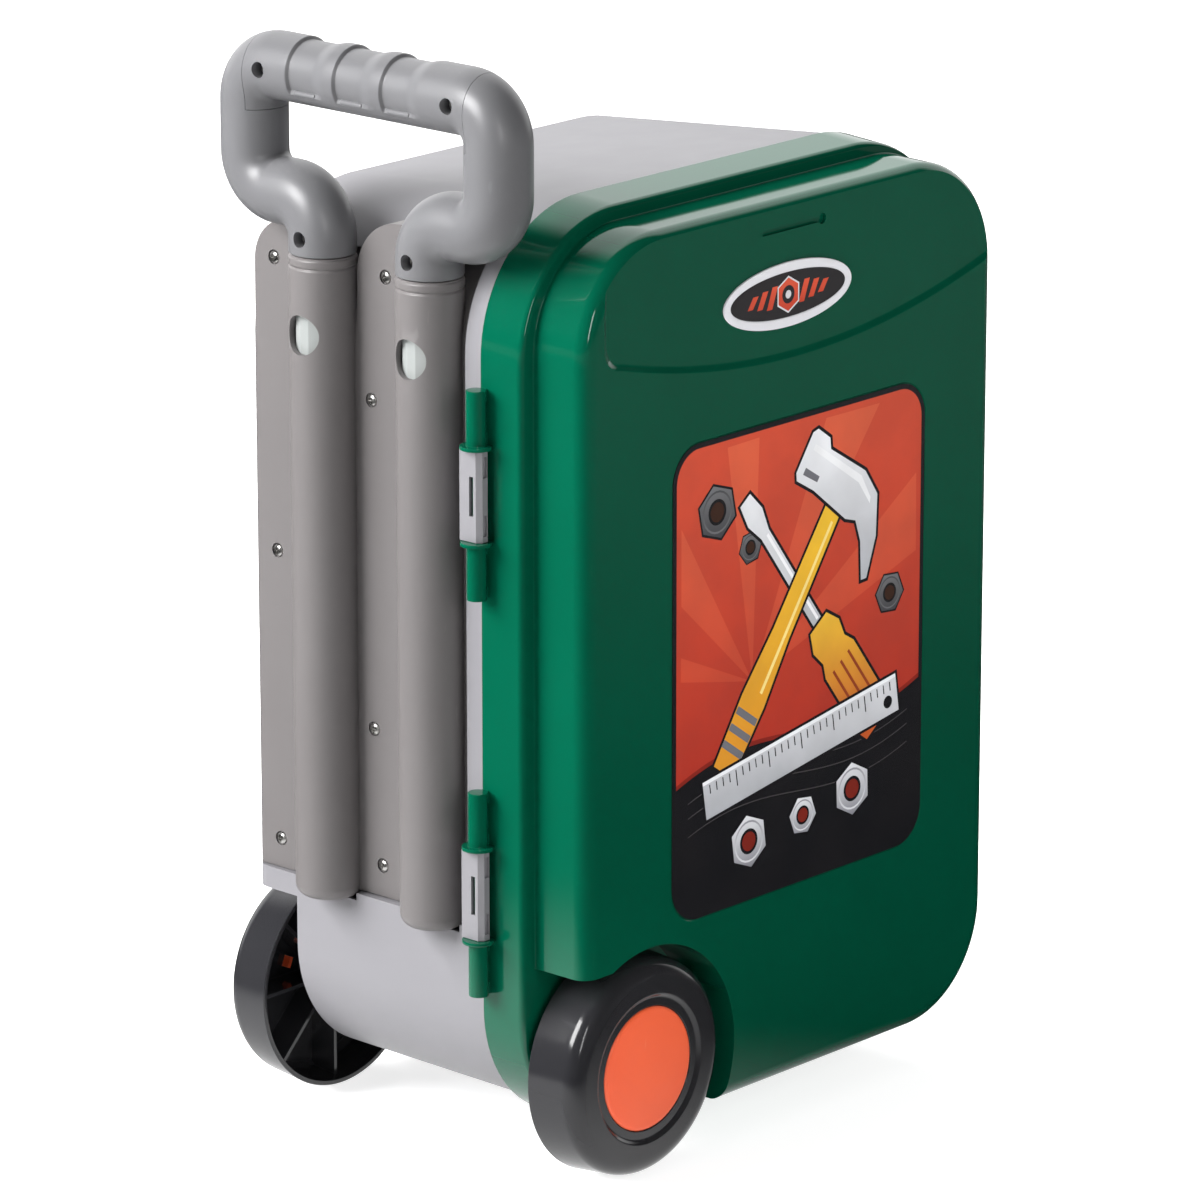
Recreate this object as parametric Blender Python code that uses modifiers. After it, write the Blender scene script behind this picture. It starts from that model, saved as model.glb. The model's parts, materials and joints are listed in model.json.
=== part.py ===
"""Toy tool box: a moulded case on two wheels, with a hinged door and a pull-out handle.

All lengths are in metres. X runs along the door from the case's middle, Y runs back from the plane where the
door meets the case, and Z is up from the floor. The whole model hangs from one empty, which puts the origin
under the middle of its bounding box.
"""

import math
from dataclasses import dataclass

import bmesh
import bpy
from mathutils import Matrix, Vector

# Clearances
FIT_GAP = 0.0003
SLIDE_GAP = 0.0004
OVERRUN = 0.02

# Case shell
CASE_WIDTH = 0.328
CASE_HEIGHT = 0.483
CASE_DEPTH = 0.1677
CASE_BASE = 0.0255
CASE_CORNER = 0.072
CASE_SIDE_DRAFT = 0.004
CASE_TOP_DROP = 0.0137
CASE_BACK_ROUND = 0.008
CASE_WALL = 0.0025
CASE_TOP = CASE_BASE + CASE_HEIGHT
CASE_WALL_CUT = 0.0075

# Door shell: a deep front cover on a wider flange
FLANGE_SIDE_LIP = 0.002
FLANGE_TOP_LIP = 0.001
FLANGE_BASE_LIP = 0.004
FLANGE_WIDTH = CASE_WIDTH + FLANGE_SIDE_LIP * 2
FLANGE_BASE = CASE_BASE - FLANGE_BASE_LIP
FLANGE_HEIGHT = CASE_HEIGHT + FLANGE_BASE_LIP + FLANGE_TOP_LIP
FLANGE_CORNER = CASE_CORNER + FLANGE_TOP_LIP
FLANGE_DEPTH = 0.0277
FLANGE_ROUND = 0.0035
FLANGE_ROUND_SHARE = 0.36
COVER_DEPTH = 0.0348
COVER_STEP_LEFT = 0.0092
COVER_STEP_RIGHT = 0.001
COVER_STEP_TOP = 0.012
COVER_STEP_BOTTOM = 0.005
COVER_CORNER = 0.063
COVER_ROUND = 0.010
DOOR_WALL = 0.003

# Brow: the shallow step across the top of the door's face
BROW_DEPTH = 0.0018
BROW_SLOPE_WIDTH = 0.0022
BROW_DROP = 0.088
BROW_HEIGHT = CASE_TOP - BROW_DROP
BROW_RISE = 0.020
BROW_CENTRE = 0.004
BROW_HALF_INSET = 0.022
BROW_HALF_WIDTH = CASE_WIDTH / 2 - BROW_HALF_INSET
BROW_LEFT_INSET = 0.025
BROW_LEFT_EDGE = -CASE_WIDTH / 2 + BROW_LEFT_INSET
BROW_LEFT_CORNER = 0.012
BROW_MARGIN = 0.03
BROW_STEPS = 10

# Carry slot in the brow
SLOT_LEFT = -0.0207
SLOT_LENGTH = 0.0468
SLOT_HEIGHT = 0.0032
SLOT_DROP = 0.0235
SLOT_CENTRE_HEIGHT = CASE_TOP - SLOT_DROP
SLOT_DEPTH = 0.002
SLOT_BUMP_RADIUS = 0.0028

# Badge and label
BADGE_CENTRE = -0.0015
BADGE_DROP = 0.0582
BADGE_HEIGHT = CASE_TOP - BADGE_DROP
BADGE_WIDTH = 0.100
BADGE_TALLNESS = 0.034
BADGE_THICKNESS = 0.001
BADGE_RIM = 0.0045
BADGE_FIELD_STEP = 0.0004
LABEL_LEFT_INSET = 0.0733
LABEL_RIGHT_INSET = 0.0553
LABEL_TOP_DROP = 0.1228
LABEL_BASE_RISE = 0.1071
LABEL_LEFT = -CASE_WIDTH / 2 + LABEL_LEFT_INSET
LABEL_WIDTH = CASE_WIDTH - LABEL_LEFT_INSET - LABEL_RIGHT_INSET
LABEL_BASE = CASE_BASE + LABEL_BASE_RISE
LABEL_HEIGHT = CASE_HEIGHT - LABEL_BASE_RISE - LABEL_TOP_DROP
LABEL_CORNER = 0.020
LABEL_THICKNESS = 0.0004

# Wheels
WHEEL_RADIUS = 0.060
WHEEL_WIDTH = 0.0305
WHEEL_TREAD_TAPER = 0.002
WHEEL_SHOULDER = 0.010
WHEEL_WALL = 0.0028
WHEEL_FACE_WALL = 0.003
WHEEL_STEP_RADIUS = 0.040
WHEEL_STEP_WIDTH = 0.002
WHEEL_STEP_DEPTH = 0.0016
WHEEL_HUB_RADIUS = 0.010
WHEEL_HUB_INSET = 0.0012
WHEEL_RIB_COUNT = 8
WHEEL_RIB_THICKNESS = 0.002
WHEEL_RIB_INSET = 0.006
WHEEL_SIDE_INSET = 0.0566
WHEEL_X = -CASE_WIDTH / 2 + WHEEL_SIDE_INSET
FRONT_WHEEL_INSET = 0.0002
REAR_WHEEL_SINK = 0.0114
REAR_WHEEL_INNER = CASE_DEPTH - REAR_WHEEL_SINK

# Wheel caps
CAP_RADIUS = 0.033
CAP_THICKNESS = 0.0022
CAP_DOME = 0.0006
CAP_SINK = 0.0004
CAP_PRONG_COUNT = 4
CAP_PRONG_RADIUS = 0.022
CAP_PRONG_WIDTH = 0.006
CAP_PRONG_THICKNESS = 0.0022
CAP_PRONG_REACH = 0.004
CAP_POCKET = 0.0045

# Axles
AXLE_RADIUS = 0.004
AXLE_HEAD_RADIUS = 0.0075
AXLE_HEAD_THICKNESS = 0.0011
AXLE_END_REACH = 0.006
AXLE_BOSS_RADIUS = 0.011

# Wheel wells
WELL_RADIUS = 0.066
FRONT_WELL_ROOF = 0.1195
REAR_WELL_ROOF = 0.1225
REAR_WELL_DEPTH = 0.0304
REAR_WELL_FRONT = CASE_DEPTH - REAR_WELL_DEPTH
WELL_BACK_WALL = 0.0032

# Hinges on the left and latches on the right
HINGE_REACH = 0.0056
HINGE_SETBACK = 0.0023
HINGE_UPPER_DROP = 0.1405
HINGE_LOWER_RISE = 0.132
HINGE_HEIGHTS = (CASE_TOP - HINGE_UPPER_DROP, CASE_BASE + HINGE_LOWER_RISE)
HINGE_LENGTH = 0.109
HINGE_CLIP_SPAN = 0.050
HINGE_ROD_RADIUS = 0.0052
HINGE_PIN_RADIUS = 0.0022
HINGE_DISC_RADIUS = 0.0085
HINGE_DISC_THICKNESS = 0.002
HINGE_WEB_THICKNESS = 0.005
HINGE_WEB_HEIGHT = 0.006
CLIP_OUTER_REACH = 0.004
CLIP_NOSE = 0.0056
CLIP_ROOT_DEPTH = 0.0075
CLIP_FLANGE_GAP = 0.0010
CLIP_EDGE = 0.0024
CLIP_BORE_GAP = 0.0005
CLIP_SLOT_HEIGHT = 0.0206
CLIP_SLOT_WIDTH = 0.0028
CLIP_RECESS_HEIGHT = 0.011
CLIP_RECESS_WIDTH = 0.003
CLIP_RECESS_DEPTH = 0.0015
CLIP_RECESS_MARGIN = 0.003

# Feet
FOOT_SIDE_INSET = 0.086
FOOT_X = CASE_WIDTH / 2 - FOOT_SIDE_INSET
FOOT_FRONT_INSET = 0.045
FOOT_BACK_INSET = 0.0327
FOOT_DEPTHS = (FOOT_FRONT_INSET, CASE_DEPTH - FOOT_BACK_INSET)
FOOT_TOP_RADIUS = 0.013
FOOT_BOTTOM_RADIUS = 0.010
FOOT_EDGE = 0.002
FOOT_STEM_RADIUS = 0.004
FOOT_STEM_REACH = 0.002

# Handle housing
PLATE_FRONT = 0.0124
PLATE_BACK_MARGIN = 0.0083
PLATE_BACK = CASE_DEPTH - PLATE_BACK_MARGIN
PLATE_BASE = 0.1345
PLATE_TOP_MARGIN = 0.026
PLATE_SINK_FRONT = 0.0063
PLATE_SINK_BACK = 0.0026
PLATE_THICKNESS = 0.003
PLATE_BLANK_THICKNESS = 0.006
PLATE_HOLE_DEPTH = 0.009
PLATE_STEPS = 14
PLATE_CORE_STEPS = 24
TUBE_AXIS_INSET = 0.001
TUBE_FRONT_INSET = 0.0242
TUBE_BACK_INSET = 0.0482
TUBE_AXIS_DEPTHS = (PLATE_FRONT + TUBE_FRONT_INSET, PLATE_BACK - TUBE_BACK_INSET)
COVER_TUBE_RADIUS = 0.0177
COVER_TUBE_WALL = 0.003
COVER_TUBE_BASE = 0.1305
COVER_TUBE_TOP_DROP = 0.035
COVER_TUBE_TOP = CASE_TOP - COVER_TUBE_TOP_DROP
COVER_TUBE_COLLAR = 0.004
COVER_TUBE_COLLAR_CUT = 0.012
COVER_TUBE_ROUND = 0.007
COVER_TUBE_RIM = 0.0012
COVER_TUBE_RIM_STEP = 0.0007
COVER_TUBE_RIM_DROP = 0.005
WINDOW_RADIUS = 0.0105
WINDOW_DROP = 0.0405
WINDOW_HEIGHT = COVER_TUBE_TOP - WINDOW_DROP
WINDOW_WALL_REACH = 0.012

# Housing screws: three near the plate's back edge and four between the tube covers
SCREW_BACK_INSET = 0.008
SCREW_TOP_DROP = 0.010
SCREW_INNER_TOP_DROP = 0.008
SCREW_UPPER_DROP = 0.074
SCREW_BASE_RISE = 0.016
SCREW_INNER_BASE_RISE = 0.017
SCREW_MIDDLE_SHARE = 0.51
SCREW_LOWER_SHARE = 0.2655
SCREW_INNER_TOP_SHARE = -0.028
SCREW_INNER_SHARE = 0.242
SCREW_INNER_BASE_SHARE = 0.105
SCREW_HEAD_RADIUS = 0.0032
SCREW_HEAD_THICKNESS = 0.0016
SCREW_SHANK_RADIUS = 0.0015
SCREW_SHANK_LENGTH = 0.005
SCREW_SEAT_RADIUS = 0.0040
SCREW_SEAT_DEPTH = 0.0012
SCREW_CROSS_WIDTH = 0.0008
SCREW_CROSS_LENGTH = 0.0036
SCREW_CROSS_DEPTH = 0.0009

# Lock buttons
BUTTON_RADIUS = 0.0122
BUTTON_THICKNESS = 0.0018
BUTTON_STEM_RADIUS = 0.003
BUTTON_STEM_END = 0.0101

# Handle
HANDLE_RADIUS = 0.0175
HANDLE_MIDDLE = sum(TUBE_AXIS_DEPTHS) / 2
HANDLE_ARM_SPACING = 0.169
HANDLE_RUN_RISE = 0.0277
HANDLE_GRIP_RISE = 0.065
HANDLE_BEND = 0.0195
HANDLE_BEND_STEPS = 7
GRIP_LENGTH = 0.152
GRIP_GROOVE_COUNT = 3
GRIP_GROOVE_PITCH = 0.0325
GRIP_GROOVE_LENGTH = 0.0275
GRIP_GROOVE_DEPTH = 0.0018
GRIP_GROOVE_EDGE = 0.0016
GRIP_BAR_LENGTH = 0.015
GRIP_BAR_HEIGHT = 0.0026
GRIP_BAR_THICKNESS = 0.003
GRIP_BAR_DROP = 0.0093
HANDLE_TUBE_RADIUS = 0.007
HANDLE_TUBE_WALL = 0.0012
HANDLE_TUBE_RISE = 0.0195
HANDLE_TUBE_BASE = COVER_TUBE_BASE + HANDLE_TUBE_RISE
HANDLE_TUBE_SEAT = 0.020
TUBE_GUIDE_HEIGHT = 0.014
TUBE_GUIDE_PLAY = 0.0005
HANDLE_SCREW_SEAT_DEPTH = 0.007
HANDLE_SCREW_SEAT_RADIUS = 0.0042
SOCKET_SCREW_RISE = 0.0090
GRIP_SCREW_SPACING = 0.130

# Roundness of curved pieces
CORNER_STEPS = 8
WELL_STEPS = 12
EDGE_STEPS = 4
WHEEL_SIDES = 32
TUBE_SIDES = 16
PIN_SIDES = 12
SCREW_SIDES = 8

# Places worked out from the sizes above
DOOR_BACK = -FIT_GAP / 2
DOOR_STEP = DOOR_BACK - FLANGE_DEPTH
DOOR_FRONT = DOOR_STEP - COVER_DEPTH
CASE_FRONT_Y = FIT_GAP / 2
CASE_BACK_Y = CASE_FRONT_Y + CASE_DEPTH
HINGE_X = -FLANGE_WIDTH / 2 - HINGE_REACH
HINGE_Y = DOOR_BACK - HINGE_SETBACK
WHEEL_HEIGHT = WHEEL_RADIUS
FRONT_WHEEL_INNER = DOOR_FRONT + FRONT_WHEEL_INSET + WHEEL_WIDTH
REAR_WHEEL_OUTER = REAR_WHEEL_INNER + WHEEL_WIDTH
TUBE_AXIS_X = -CASE_WIDTH / 2 + TUBE_AXIS_INSET
PLATE_SPAN = COVER_TUBE_TOP - PLATE_BASE
SCREW_BACK_DEPTH = PLATE_BACK - SCREW_BACK_INSET
COVER_GAP = TUBE_AXIS_DEPTHS[1] - TUBE_AXIS_DEPTHS[0] - COVER_TUBE_RADIUS * 2
HOUSING_SCREW_PLACES = (
    (SCREW_BACK_DEPTH, COVER_TUBE_TOP - SCREW_TOP_DROP),
    (SCREW_BACK_DEPTH, PLATE_BASE + PLATE_SPAN * SCREW_MIDDLE_SHARE),
    (SCREW_BACK_DEPTH, PLATE_BASE + SCREW_BASE_RISE),
    (HANDLE_MIDDLE + COVER_GAP * SCREW_INNER_TOP_SHARE, COVER_TUBE_TOP - SCREW_INNER_TOP_DROP),
    (HANDLE_MIDDLE + COVER_GAP * SCREW_INNER_SHARE, COVER_TUBE_TOP - SCREW_UPPER_DROP),
    (HANDLE_MIDDLE + COVER_GAP * SCREW_INNER_SHARE, PLATE_BASE + PLATE_SPAN * SCREW_LOWER_SHARE),
    (HANDLE_MIDDLE + COVER_GAP * SCREW_INNER_BASE_SHARE, PLATE_BASE + SCREW_INNER_BASE_RISE),
)
HANDLE_BASE = COVER_TUBE_TOP + FIT_GAP
HANDLE_RUN_HEIGHT = HANDLE_BASE + HANDLE_RUN_RISE
HANDLE_GRIP_HEIGHT = HANDLE_RUN_HEIGHT + HANDLE_GRIP_RISE
GRIP_UNDERSIDE = HANDLE_GRIP_HEIGHT - HANDLE_RADIUS - HANDLE_BEND / 4
TUBE_AXIS_OUTER = TUBE_AXIS_X - COVER_TUBE_RADIUS
LATCH_OUTER = FLANGE_WIDTH / 2 + HINGE_REACH + HINGE_DISC_RADIUS
ORIGIN = Vector((-(TUBE_AXIS_OUTER + LATCH_OUTER) / 2, -(DOOR_FRONT + REAR_WHEEL_OUTER) / 2, 0.0))


@dataclass(frozen=True)
class Section:
    """A rounded rectangle across the case, seen from the front."""

    left: float
    right: float
    bottom: float
    top: float
    corner: float

    def inset(self, amount: float) -> "Section":
        """Move all four sides in by one amount."""
        return Section(
            self.left + amount,
            self.right - amount,
            self.bottom + amount,
            self.top - amount,
            self.corner - amount,
        )

    def blend(self, other: "Section", share: float) -> "Section":
        """Mix two sections: share 0 gives this one and share 1 the other."""
        keep = 1.0 - share
        return Section(
            keep * self.left + share * other.left,
            keep * self.right + share * other.right,
            keep * self.bottom + share * other.bottom,
            keep * self.top + share * other.top,
            keep * self.corner + share * other.corner,
        )

    def left_edge(self, height: float) -> float:
        """X of the left side at a height, round the top corner too."""
        rise = height - (self.top - self.corner)
        if rise <= 0.0:
            return self.left
        return self.left + self.corner - math.sqrt(self.corner**2 - rise**2)

    def ring(self, depth: float, steps: int = CORNER_STEPS) -> list[Vector]:
        """Points of the outline at one depth, counter-clockwise from the front."""
        quarter = math.pi / 2
        centres = (
            (self.right - self.corner, self.bottom + self.corner, -quarter),
            (self.right - self.corner, self.top - self.corner, 0.0),
            (self.left + self.corner, self.top - self.corner, quarter),
            (self.left + self.corner, self.bottom + self.corner, 2 * quarter),
        )
        points = []
        for centre_x, centre_z, start in centres:
            for step in range(steps + 1):
                angle = start + quarter * step / steps
                x = centre_x + self.corner * math.cos(angle)
                z = centre_z + self.corner * math.sin(angle)
                points.append(Vector((x, depth, z)))
        return points


CASE_FRONT_SECTION = Section(
    -CASE_WIDTH / 2,
    CASE_WIDTH / 2,
    CASE_BASE,
    CASE_BASE + CASE_HEIGHT,
    CASE_CORNER,
)
CASE_BACK_SECTION = Section(
    -CASE_WIDTH / 2 + CASE_SIDE_DRAFT,
    CASE_WIDTH / 2 - CASE_SIDE_DRAFT,
    CASE_BASE,
    CASE_BASE + CASE_HEIGHT - CASE_TOP_DROP,
    CASE_CORNER,
)
FLANGE_SECTION = Section(
    -FLANGE_WIDTH / 2,
    FLANGE_WIDTH / 2,
    FLANGE_BASE,
    FLANGE_BASE + FLANGE_HEIGHT,
    FLANGE_CORNER,
)
COVER_SECTION = Section(
    FLANGE_SECTION.left + COVER_STEP_LEFT,
    FLANGE_SECTION.right - COVER_STEP_RIGHT,
    FLANGE_SECTION.bottom + COVER_STEP_BOTTOM,
    FLANGE_SECTION.top - COVER_STEP_TOP,
    COVER_CORNER,
)


def case_section(depth: float) -> Section:
    """The case's outer section at one depth."""
    return CASE_FRONT_SECTION.blend(CASE_BACK_SECTION, (depth - CASE_FRONT_Y) / CASE_DEPTH)


class Model:
    """The collections, materials and empties that the pieces are put in."""

    def __init__(self) -> None:
        for item in list(bpy.data.objects):
            bpy.data.objects.remove(item, do_unlink=True)
        self.parts = self.new_collection("toy_tool_box")
        self.cutters = self.new_collection("cutters")
        self.root = self.empty("case_frame", Vector(), None)
        self.root.location = ORIGIN
        self.door = self.empty("door_hinge_axis", Vector((HINGE_X, HINGE_Y, 0.0)), self.root)
        self.handle = self.empty("handle_slide_axis", Vector((TUBE_AXIS_X, HANDLE_MIDDLE, 0.0)), self.root)

    @staticmethod
    def new_collection(name: str) -> bpy.types.Collection:
        """Make a collection in the scene."""
        collection = bpy.data.collections.new(name)
        bpy.context.scene.collection.children.link(collection)
        return collection

    def empty(self, name: str, place: Vector, parent: bpy.types.Object | None) -> bpy.types.Object:
        """Make an empty at a place in the case's own frame."""
        item = bpy.data.objects.new(name, None)
        self.parts.objects.link(item)
        item["frame_place"] = place
        item.parent = parent
        item.location = place - parent_place(parent)
        return item

    def add(
        self,
        name: str,
        mesh: bpy.types.Mesh,
        material: bpy.types.Material | None = None,
        parent: bpy.types.Object | None = None,
        origin: Vector | None = None,
        turn: Matrix | None = None,
    ) -> bpy.types.Object:
        """Make an object from a mesh; with no material it is a cutter."""
        item = bpy.data.objects.new(name, mesh)
        place = origin if origin is not None else Vector()
        if origin is not None and turn is None:
            mesh.transform(Matrix.Translation(-origin))
        item.parent = parent or self.root
        item.location = place - parent_place(item.parent)
        if turn is not None:
            item.rotation_euler = turn.to_euler()
        if material is None:
            self.cutters.objects.link(item)
            item.hide_render = True
            item.display_type = "WIRE"
        else:
            self.parts.objects.link(item)
            mesh.materials.append(material)
        return item


def parent_place(parent: bpy.types.Object | None) -> Vector:
    """Where an empty stands in the case's own frame."""
    if parent is None or "frame_place" not in parent:
        return Vector()
    return Vector(parent["frame_place"])


def material(name: str, colour: tuple[float, float, float], roughness: float, metallic: float = 0.0):
    """A plain Principled material."""
    item = bpy.data.materials.new(name)
    item.use_nodes = True
    shader = item.node_tree.nodes["Principled BSDF"]
    shader.inputs["Base Color"].default_value = (*colour, 1.0)
    shader.inputs["Roughness"].default_value = roughness
    shader.inputs["Metallic"].default_value = metallic
    item.diffuse_color = (*colour, 1.0)
    return item


def mesh_from(bm: bmesh.types.BMesh, name: str) -> bpy.types.Mesh:
    """Turn a bmesh into a mesh with outward faces."""
    bmesh.ops.recalc_face_normals(bm, faces=bm.faces)
    mesh = bpy.data.meshes.new(name)
    bm.to_mesh(mesh)
    bm.free()
    return mesh


def loft_mesh(name: str, rings: list[list[Vector]]) -> bpy.types.Mesh:
    """Join rings of equal count into one closed body with flat ends."""
    bm = bmesh.new()
    loops = [[bm.verts.new(point) for point in ring] for ring in rings]
    count = len(rings[0])
    for near, far in zip(loops, loops[1:]):
        for index in range(count):
            after = (index + 1) % count
            bm.faces.new((near[index], near[after], far[after], far[index]))
    bm.faces.new(loops[0])
    bm.faces.new(list(reversed(loops[-1])))
    return mesh_from(bm, name)


def prism_mesh(name: str, outline: list[tuple[float, float]], front: float, back: float) -> bpy.types.Mesh:
    """Extrude an outline in XZ along Y."""
    rings = [[Vector((x, depth, z)) for x, z in outline] for depth in (front, back)]
    return loft_mesh(name, rings)


def add_box(bm: bmesh.types.BMesh, low: Vector, high: Vector) -> None:
    """Add a box between two corners to a bmesh."""
    size = high - low
    turn = Matrix.Translation((low + high) / 2) @ Matrix.Diagonal((size.x, size.y, size.z, 1.0))
    bmesh.ops.create_cube(bm, size=1.0, matrix=turn)


def box_mesh(name: str, boxes: list[tuple[Vector, Vector]]) -> bpy.types.Mesh:
    """One mesh of separate boxes, each given by two corners."""
    bm = bmesh.new()
    for low, high in boxes:
        add_box(bm, low, high)
    return mesh_from(bm, name)


AXIS_TURNS = {
    "X": Matrix.Rotation(math.pi / 2, 4, "Y"),
    "Y": Matrix.Rotation(-math.pi / 2, 4, "X"),
    "Z": Matrix.Identity(4),
}


def rods_mesh(
    name: str,
    rods: list[tuple[Vector, float, float]],
    axis: str,
    sides: int,
    tip_share: float = 1.0,
) -> bpy.types.Mesh:
    """One mesh of separate cylinders, each given by its start, radius and length along an axis."""
    bm = bmesh.new()
    half_side = Matrix.Rotation(math.pi / sides, 4, "Z")
    for start, radius, length in rods:
        middle = AXIS_TURNS[axis] @ Vector((0.0, 0.0, length / 2))
        bmesh.ops.create_cone(
            bm,
            cap_ends=True,
            segments=sides,
            radius1=radius,
            radius2=radius * tip_share,
            depth=length,
            matrix=Matrix.Translation(start + middle) @ AXIS_TURNS[axis] @ half_side,
        )
    return mesh_from(bm, name)


def profile_mesh(name: str, profile: list[tuple[float, float]], closed: bool) -> bpy.types.Mesh:
    """Edges of a turned shape's profile, as radius and height, top to bottom on its outer side."""
    mesh = bpy.data.meshes.new(name)
    points = [(radius, 0.0, height) for radius, height in profile]
    edges = [(index, index + 1) for index in range(len(points) - 1)]
    if closed:
        edges.append((len(points) - 1, 0))
    mesh.from_pydata(points, edges, [])
    return mesh


def turn_profile(item: bpy.types.Object, sides: int) -> None:
    """Spin a profile round its own Z axis."""
    screw = item.modifiers.new("turn", "SCREW")
    screw.steps = sides
    screw.render_steps = sides
    screw.use_merge_vertices = True
    screw.merge_threshold = 0.00001
    screw.use_smooth_shade = True


def combine(target: bpy.types.Object, other: bpy.types.Object, operation: str) -> None:
    """Cut with, or join, another closed mesh."""
    boolean = target.modifiers.new(other.name, "BOOLEAN")
    boolean.operation = operation
    boolean.object = other


def cut(target: bpy.types.Object, *others: bpy.types.Object) -> None:
    """Take the others away from the target."""
    for other in others:
        combine(target, other, "DIFFERENCE")


def join(target: bpy.types.Object, *others: bpy.types.Object) -> None:
    """Fuse the others with the target."""
    for other in others:
        combine(target, other, "UNION")


def quarter_round(radius: float, steps: int) -> list[tuple[float, float]]:
    """Inset and advance along a rounded edge, from the full inset to none."""
    pairs = []
    for step in range(steps + 1):
        angle = math.pi / 2 * step / steps
        pairs.append((radius * (1.0 - math.sin(angle)), radius * (1.0 - math.cos(angle))))
    return pairs


def tube_along(model: Model, name: str, path: list[tuple[Vector, float]], radius: float) -> bpy.types.Mesh:
    """A round tube along a path of points, each with a share of the full radius, as a welded mesh."""
    curve = bpy.data.curves.new(name, "CURVE")
    curve.dimensions = "3D"
    curve.bevel_depth = radius
    curve.bevel_resolution = TUBE_SIDES // 4 - 2
    curve.use_fill_caps = True
    spline = curve.splines.new("POLY")
    spline.points.add(len(path) - 1)
    for point, (place, share) in zip(spline.points, path):
        point.co = (*place, 1.0)
        point.radius = share
    item = bpy.data.objects.new(name, curve)
    model.cutters.objects.link(item)
    bpy.context.view_layer.update()
    depsgraph = bpy.context.evaluated_depsgraph_get()
    mesh = bpy.data.meshes.new_from_object(item.evaluated_get(depsgraph))
    bpy.data.objects.remove(item, do_unlink=True)
    bm = bmesh.new()
    bm.from_mesh(mesh)
    bmesh.ops.remove_doubles(bm, verts=bm.verts, dist=0.00001)
    bmesh.ops.recalc_face_normals(bm, faces=bm.faces)
    bm.to_mesh(mesh)
    bm.free()
    mesh.materials.clear()
    return mesh


def bent_path(corners: list[Vector], bend: float) -> list[Vector]:
    """A line through corners with each inner corner rounded by an arc."""
    points = [corners[0]]
    for before, corner, after in zip(corners, corners[1:], corners[2:]):
        back = (before - corner).normalized()
        ahead = (after - corner).normalized()
        centre = corner + (back + ahead) * bend
        for step in range(HANDLE_BEND_STEPS + 1):
            angle = math.pi / 2 * step / HANDLE_BEND_STEPS
            points.append(centre - ahead * bend * math.cos(angle) - back * bend * math.sin(angle))
    points.append(corners[-1])
    return points


def well_outline(roof: float, growth: float) -> list[tuple[float, float]]:
    """A wheel well from the front: a flat roof outside and an arch round the wheel."""
    radius = WELL_RADIUS + growth
    rise = roof + growth - WHEEL_HEIGHT
    start = math.pi - math.asin(rise / radius)
    stop = -math.pi / 2
    far_left = -FLANGE_WIDTH / 2 - OVERRUN
    outline = [(far_left, WHEEL_HEIGHT - radius), (far_left, roof + growth)]
    for step in range(WELL_STEPS + 1):
        angle = start + (stop - start) * step / WELL_STEPS
        outline.append((WHEEL_X + radius * math.cos(angle), WHEEL_HEIGHT + radius * math.sin(angle)))
    return outline


def side_band(section: Section, outer: float, inner: float, low: float, high: float, depth: float):
    """A strip that follows the left side and top corner of a section, between two insets."""
    heights = [low]
    bend_start = section.top - section.corner
    for step in range(PLATE_STEPS + 1):
        heights.append(bend_start + (high - bend_start) * step / PLATE_STEPS)
    outside = section.inset(outer)
    inside = section.inset(inner)
    points = [Vector((outside.left_edge(height), depth, height)) for height in heights]
    points += [Vector((inside.left_edge(height), depth, height)) for height in reversed(heights)]
    return points


def plate_sink(depth: float) -> float:
    """How far the housing's plate lies under the case's side at one depth."""
    share = (depth - PLATE_FRONT) / (PLATE_BACK - PLATE_FRONT)
    return PLATE_SINK_FRONT + share * (PLATE_SINK_BACK - PLATE_SINK_FRONT)


def band_mesh(name: str, outer: float | None, inner: float, growth: float) -> bpy.types.Mesh:
    """The housing plate's space: outer None reaches out of the case, inner is the depth under the plate."""
    rings = []
    for depth in (PLATE_FRONT - growth, PLATE_BACK + growth):
        section = case_section(depth)
        sink = plate_sink(depth)
        low = PLATE_BASE - growth
        high = section.top - PLATE_TOP_MARGIN + growth
        outside = sink if outer is None else -outer
        rings.append(side_band(section, outside, sink + inner, low, high, depth))
    return loft_mesh(name, rings)


def build_case_shell(model: Model, gray: bpy.types.Material) -> bpy.types.Object:
    """The case: a drafted shell, open in front, with a wheel well and a recess for the handle housing."""
    rings = [CASE_FRONT_SECTION.ring(CASE_FRONT_Y)]
    for inset, advance in reversed(quarter_round(CASE_BACK_ROUND, EDGE_STEPS)):
        depth = CASE_BACK_Y - advance
        rings.append(case_section(depth).inset(inset).ring(depth))
    shell = model.add("case_shell", loft_mesh("case_shell", rings), gray)

    hollow = model.add("case_hollow", case_hollow_mesh(), None)
    rear_well = model.add("rear_well", rear_well_mesh("rear_well", 0.0, 0.0))
    well_wall = model.add("rear_well_wall", rear_well_mesh("rear_well_wall", CASE_WALL, CASE_WALL))
    recess_mesh = band_mesh("housing_recess", OVERRUN, PLATE_THICKNESS + FIT_GAP, FIT_GAP)
    recess = model.add("housing_recess", recess_mesh)
    recess_inner = PLATE_THICKNESS + FIT_GAP + CASE_WALL
    recess_wall_mesh = band_mesh("housing_recess_wall", OVERRUN, recess_inner, FIT_GAP + CASE_WALL)
    recess_wall = model.add("housing_recess_wall", recess_wall_mesh)
    cut(hollow, well_wall, recess_wall)
    cut(shell, rear_well, recess, hollow)
    return shell


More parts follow.
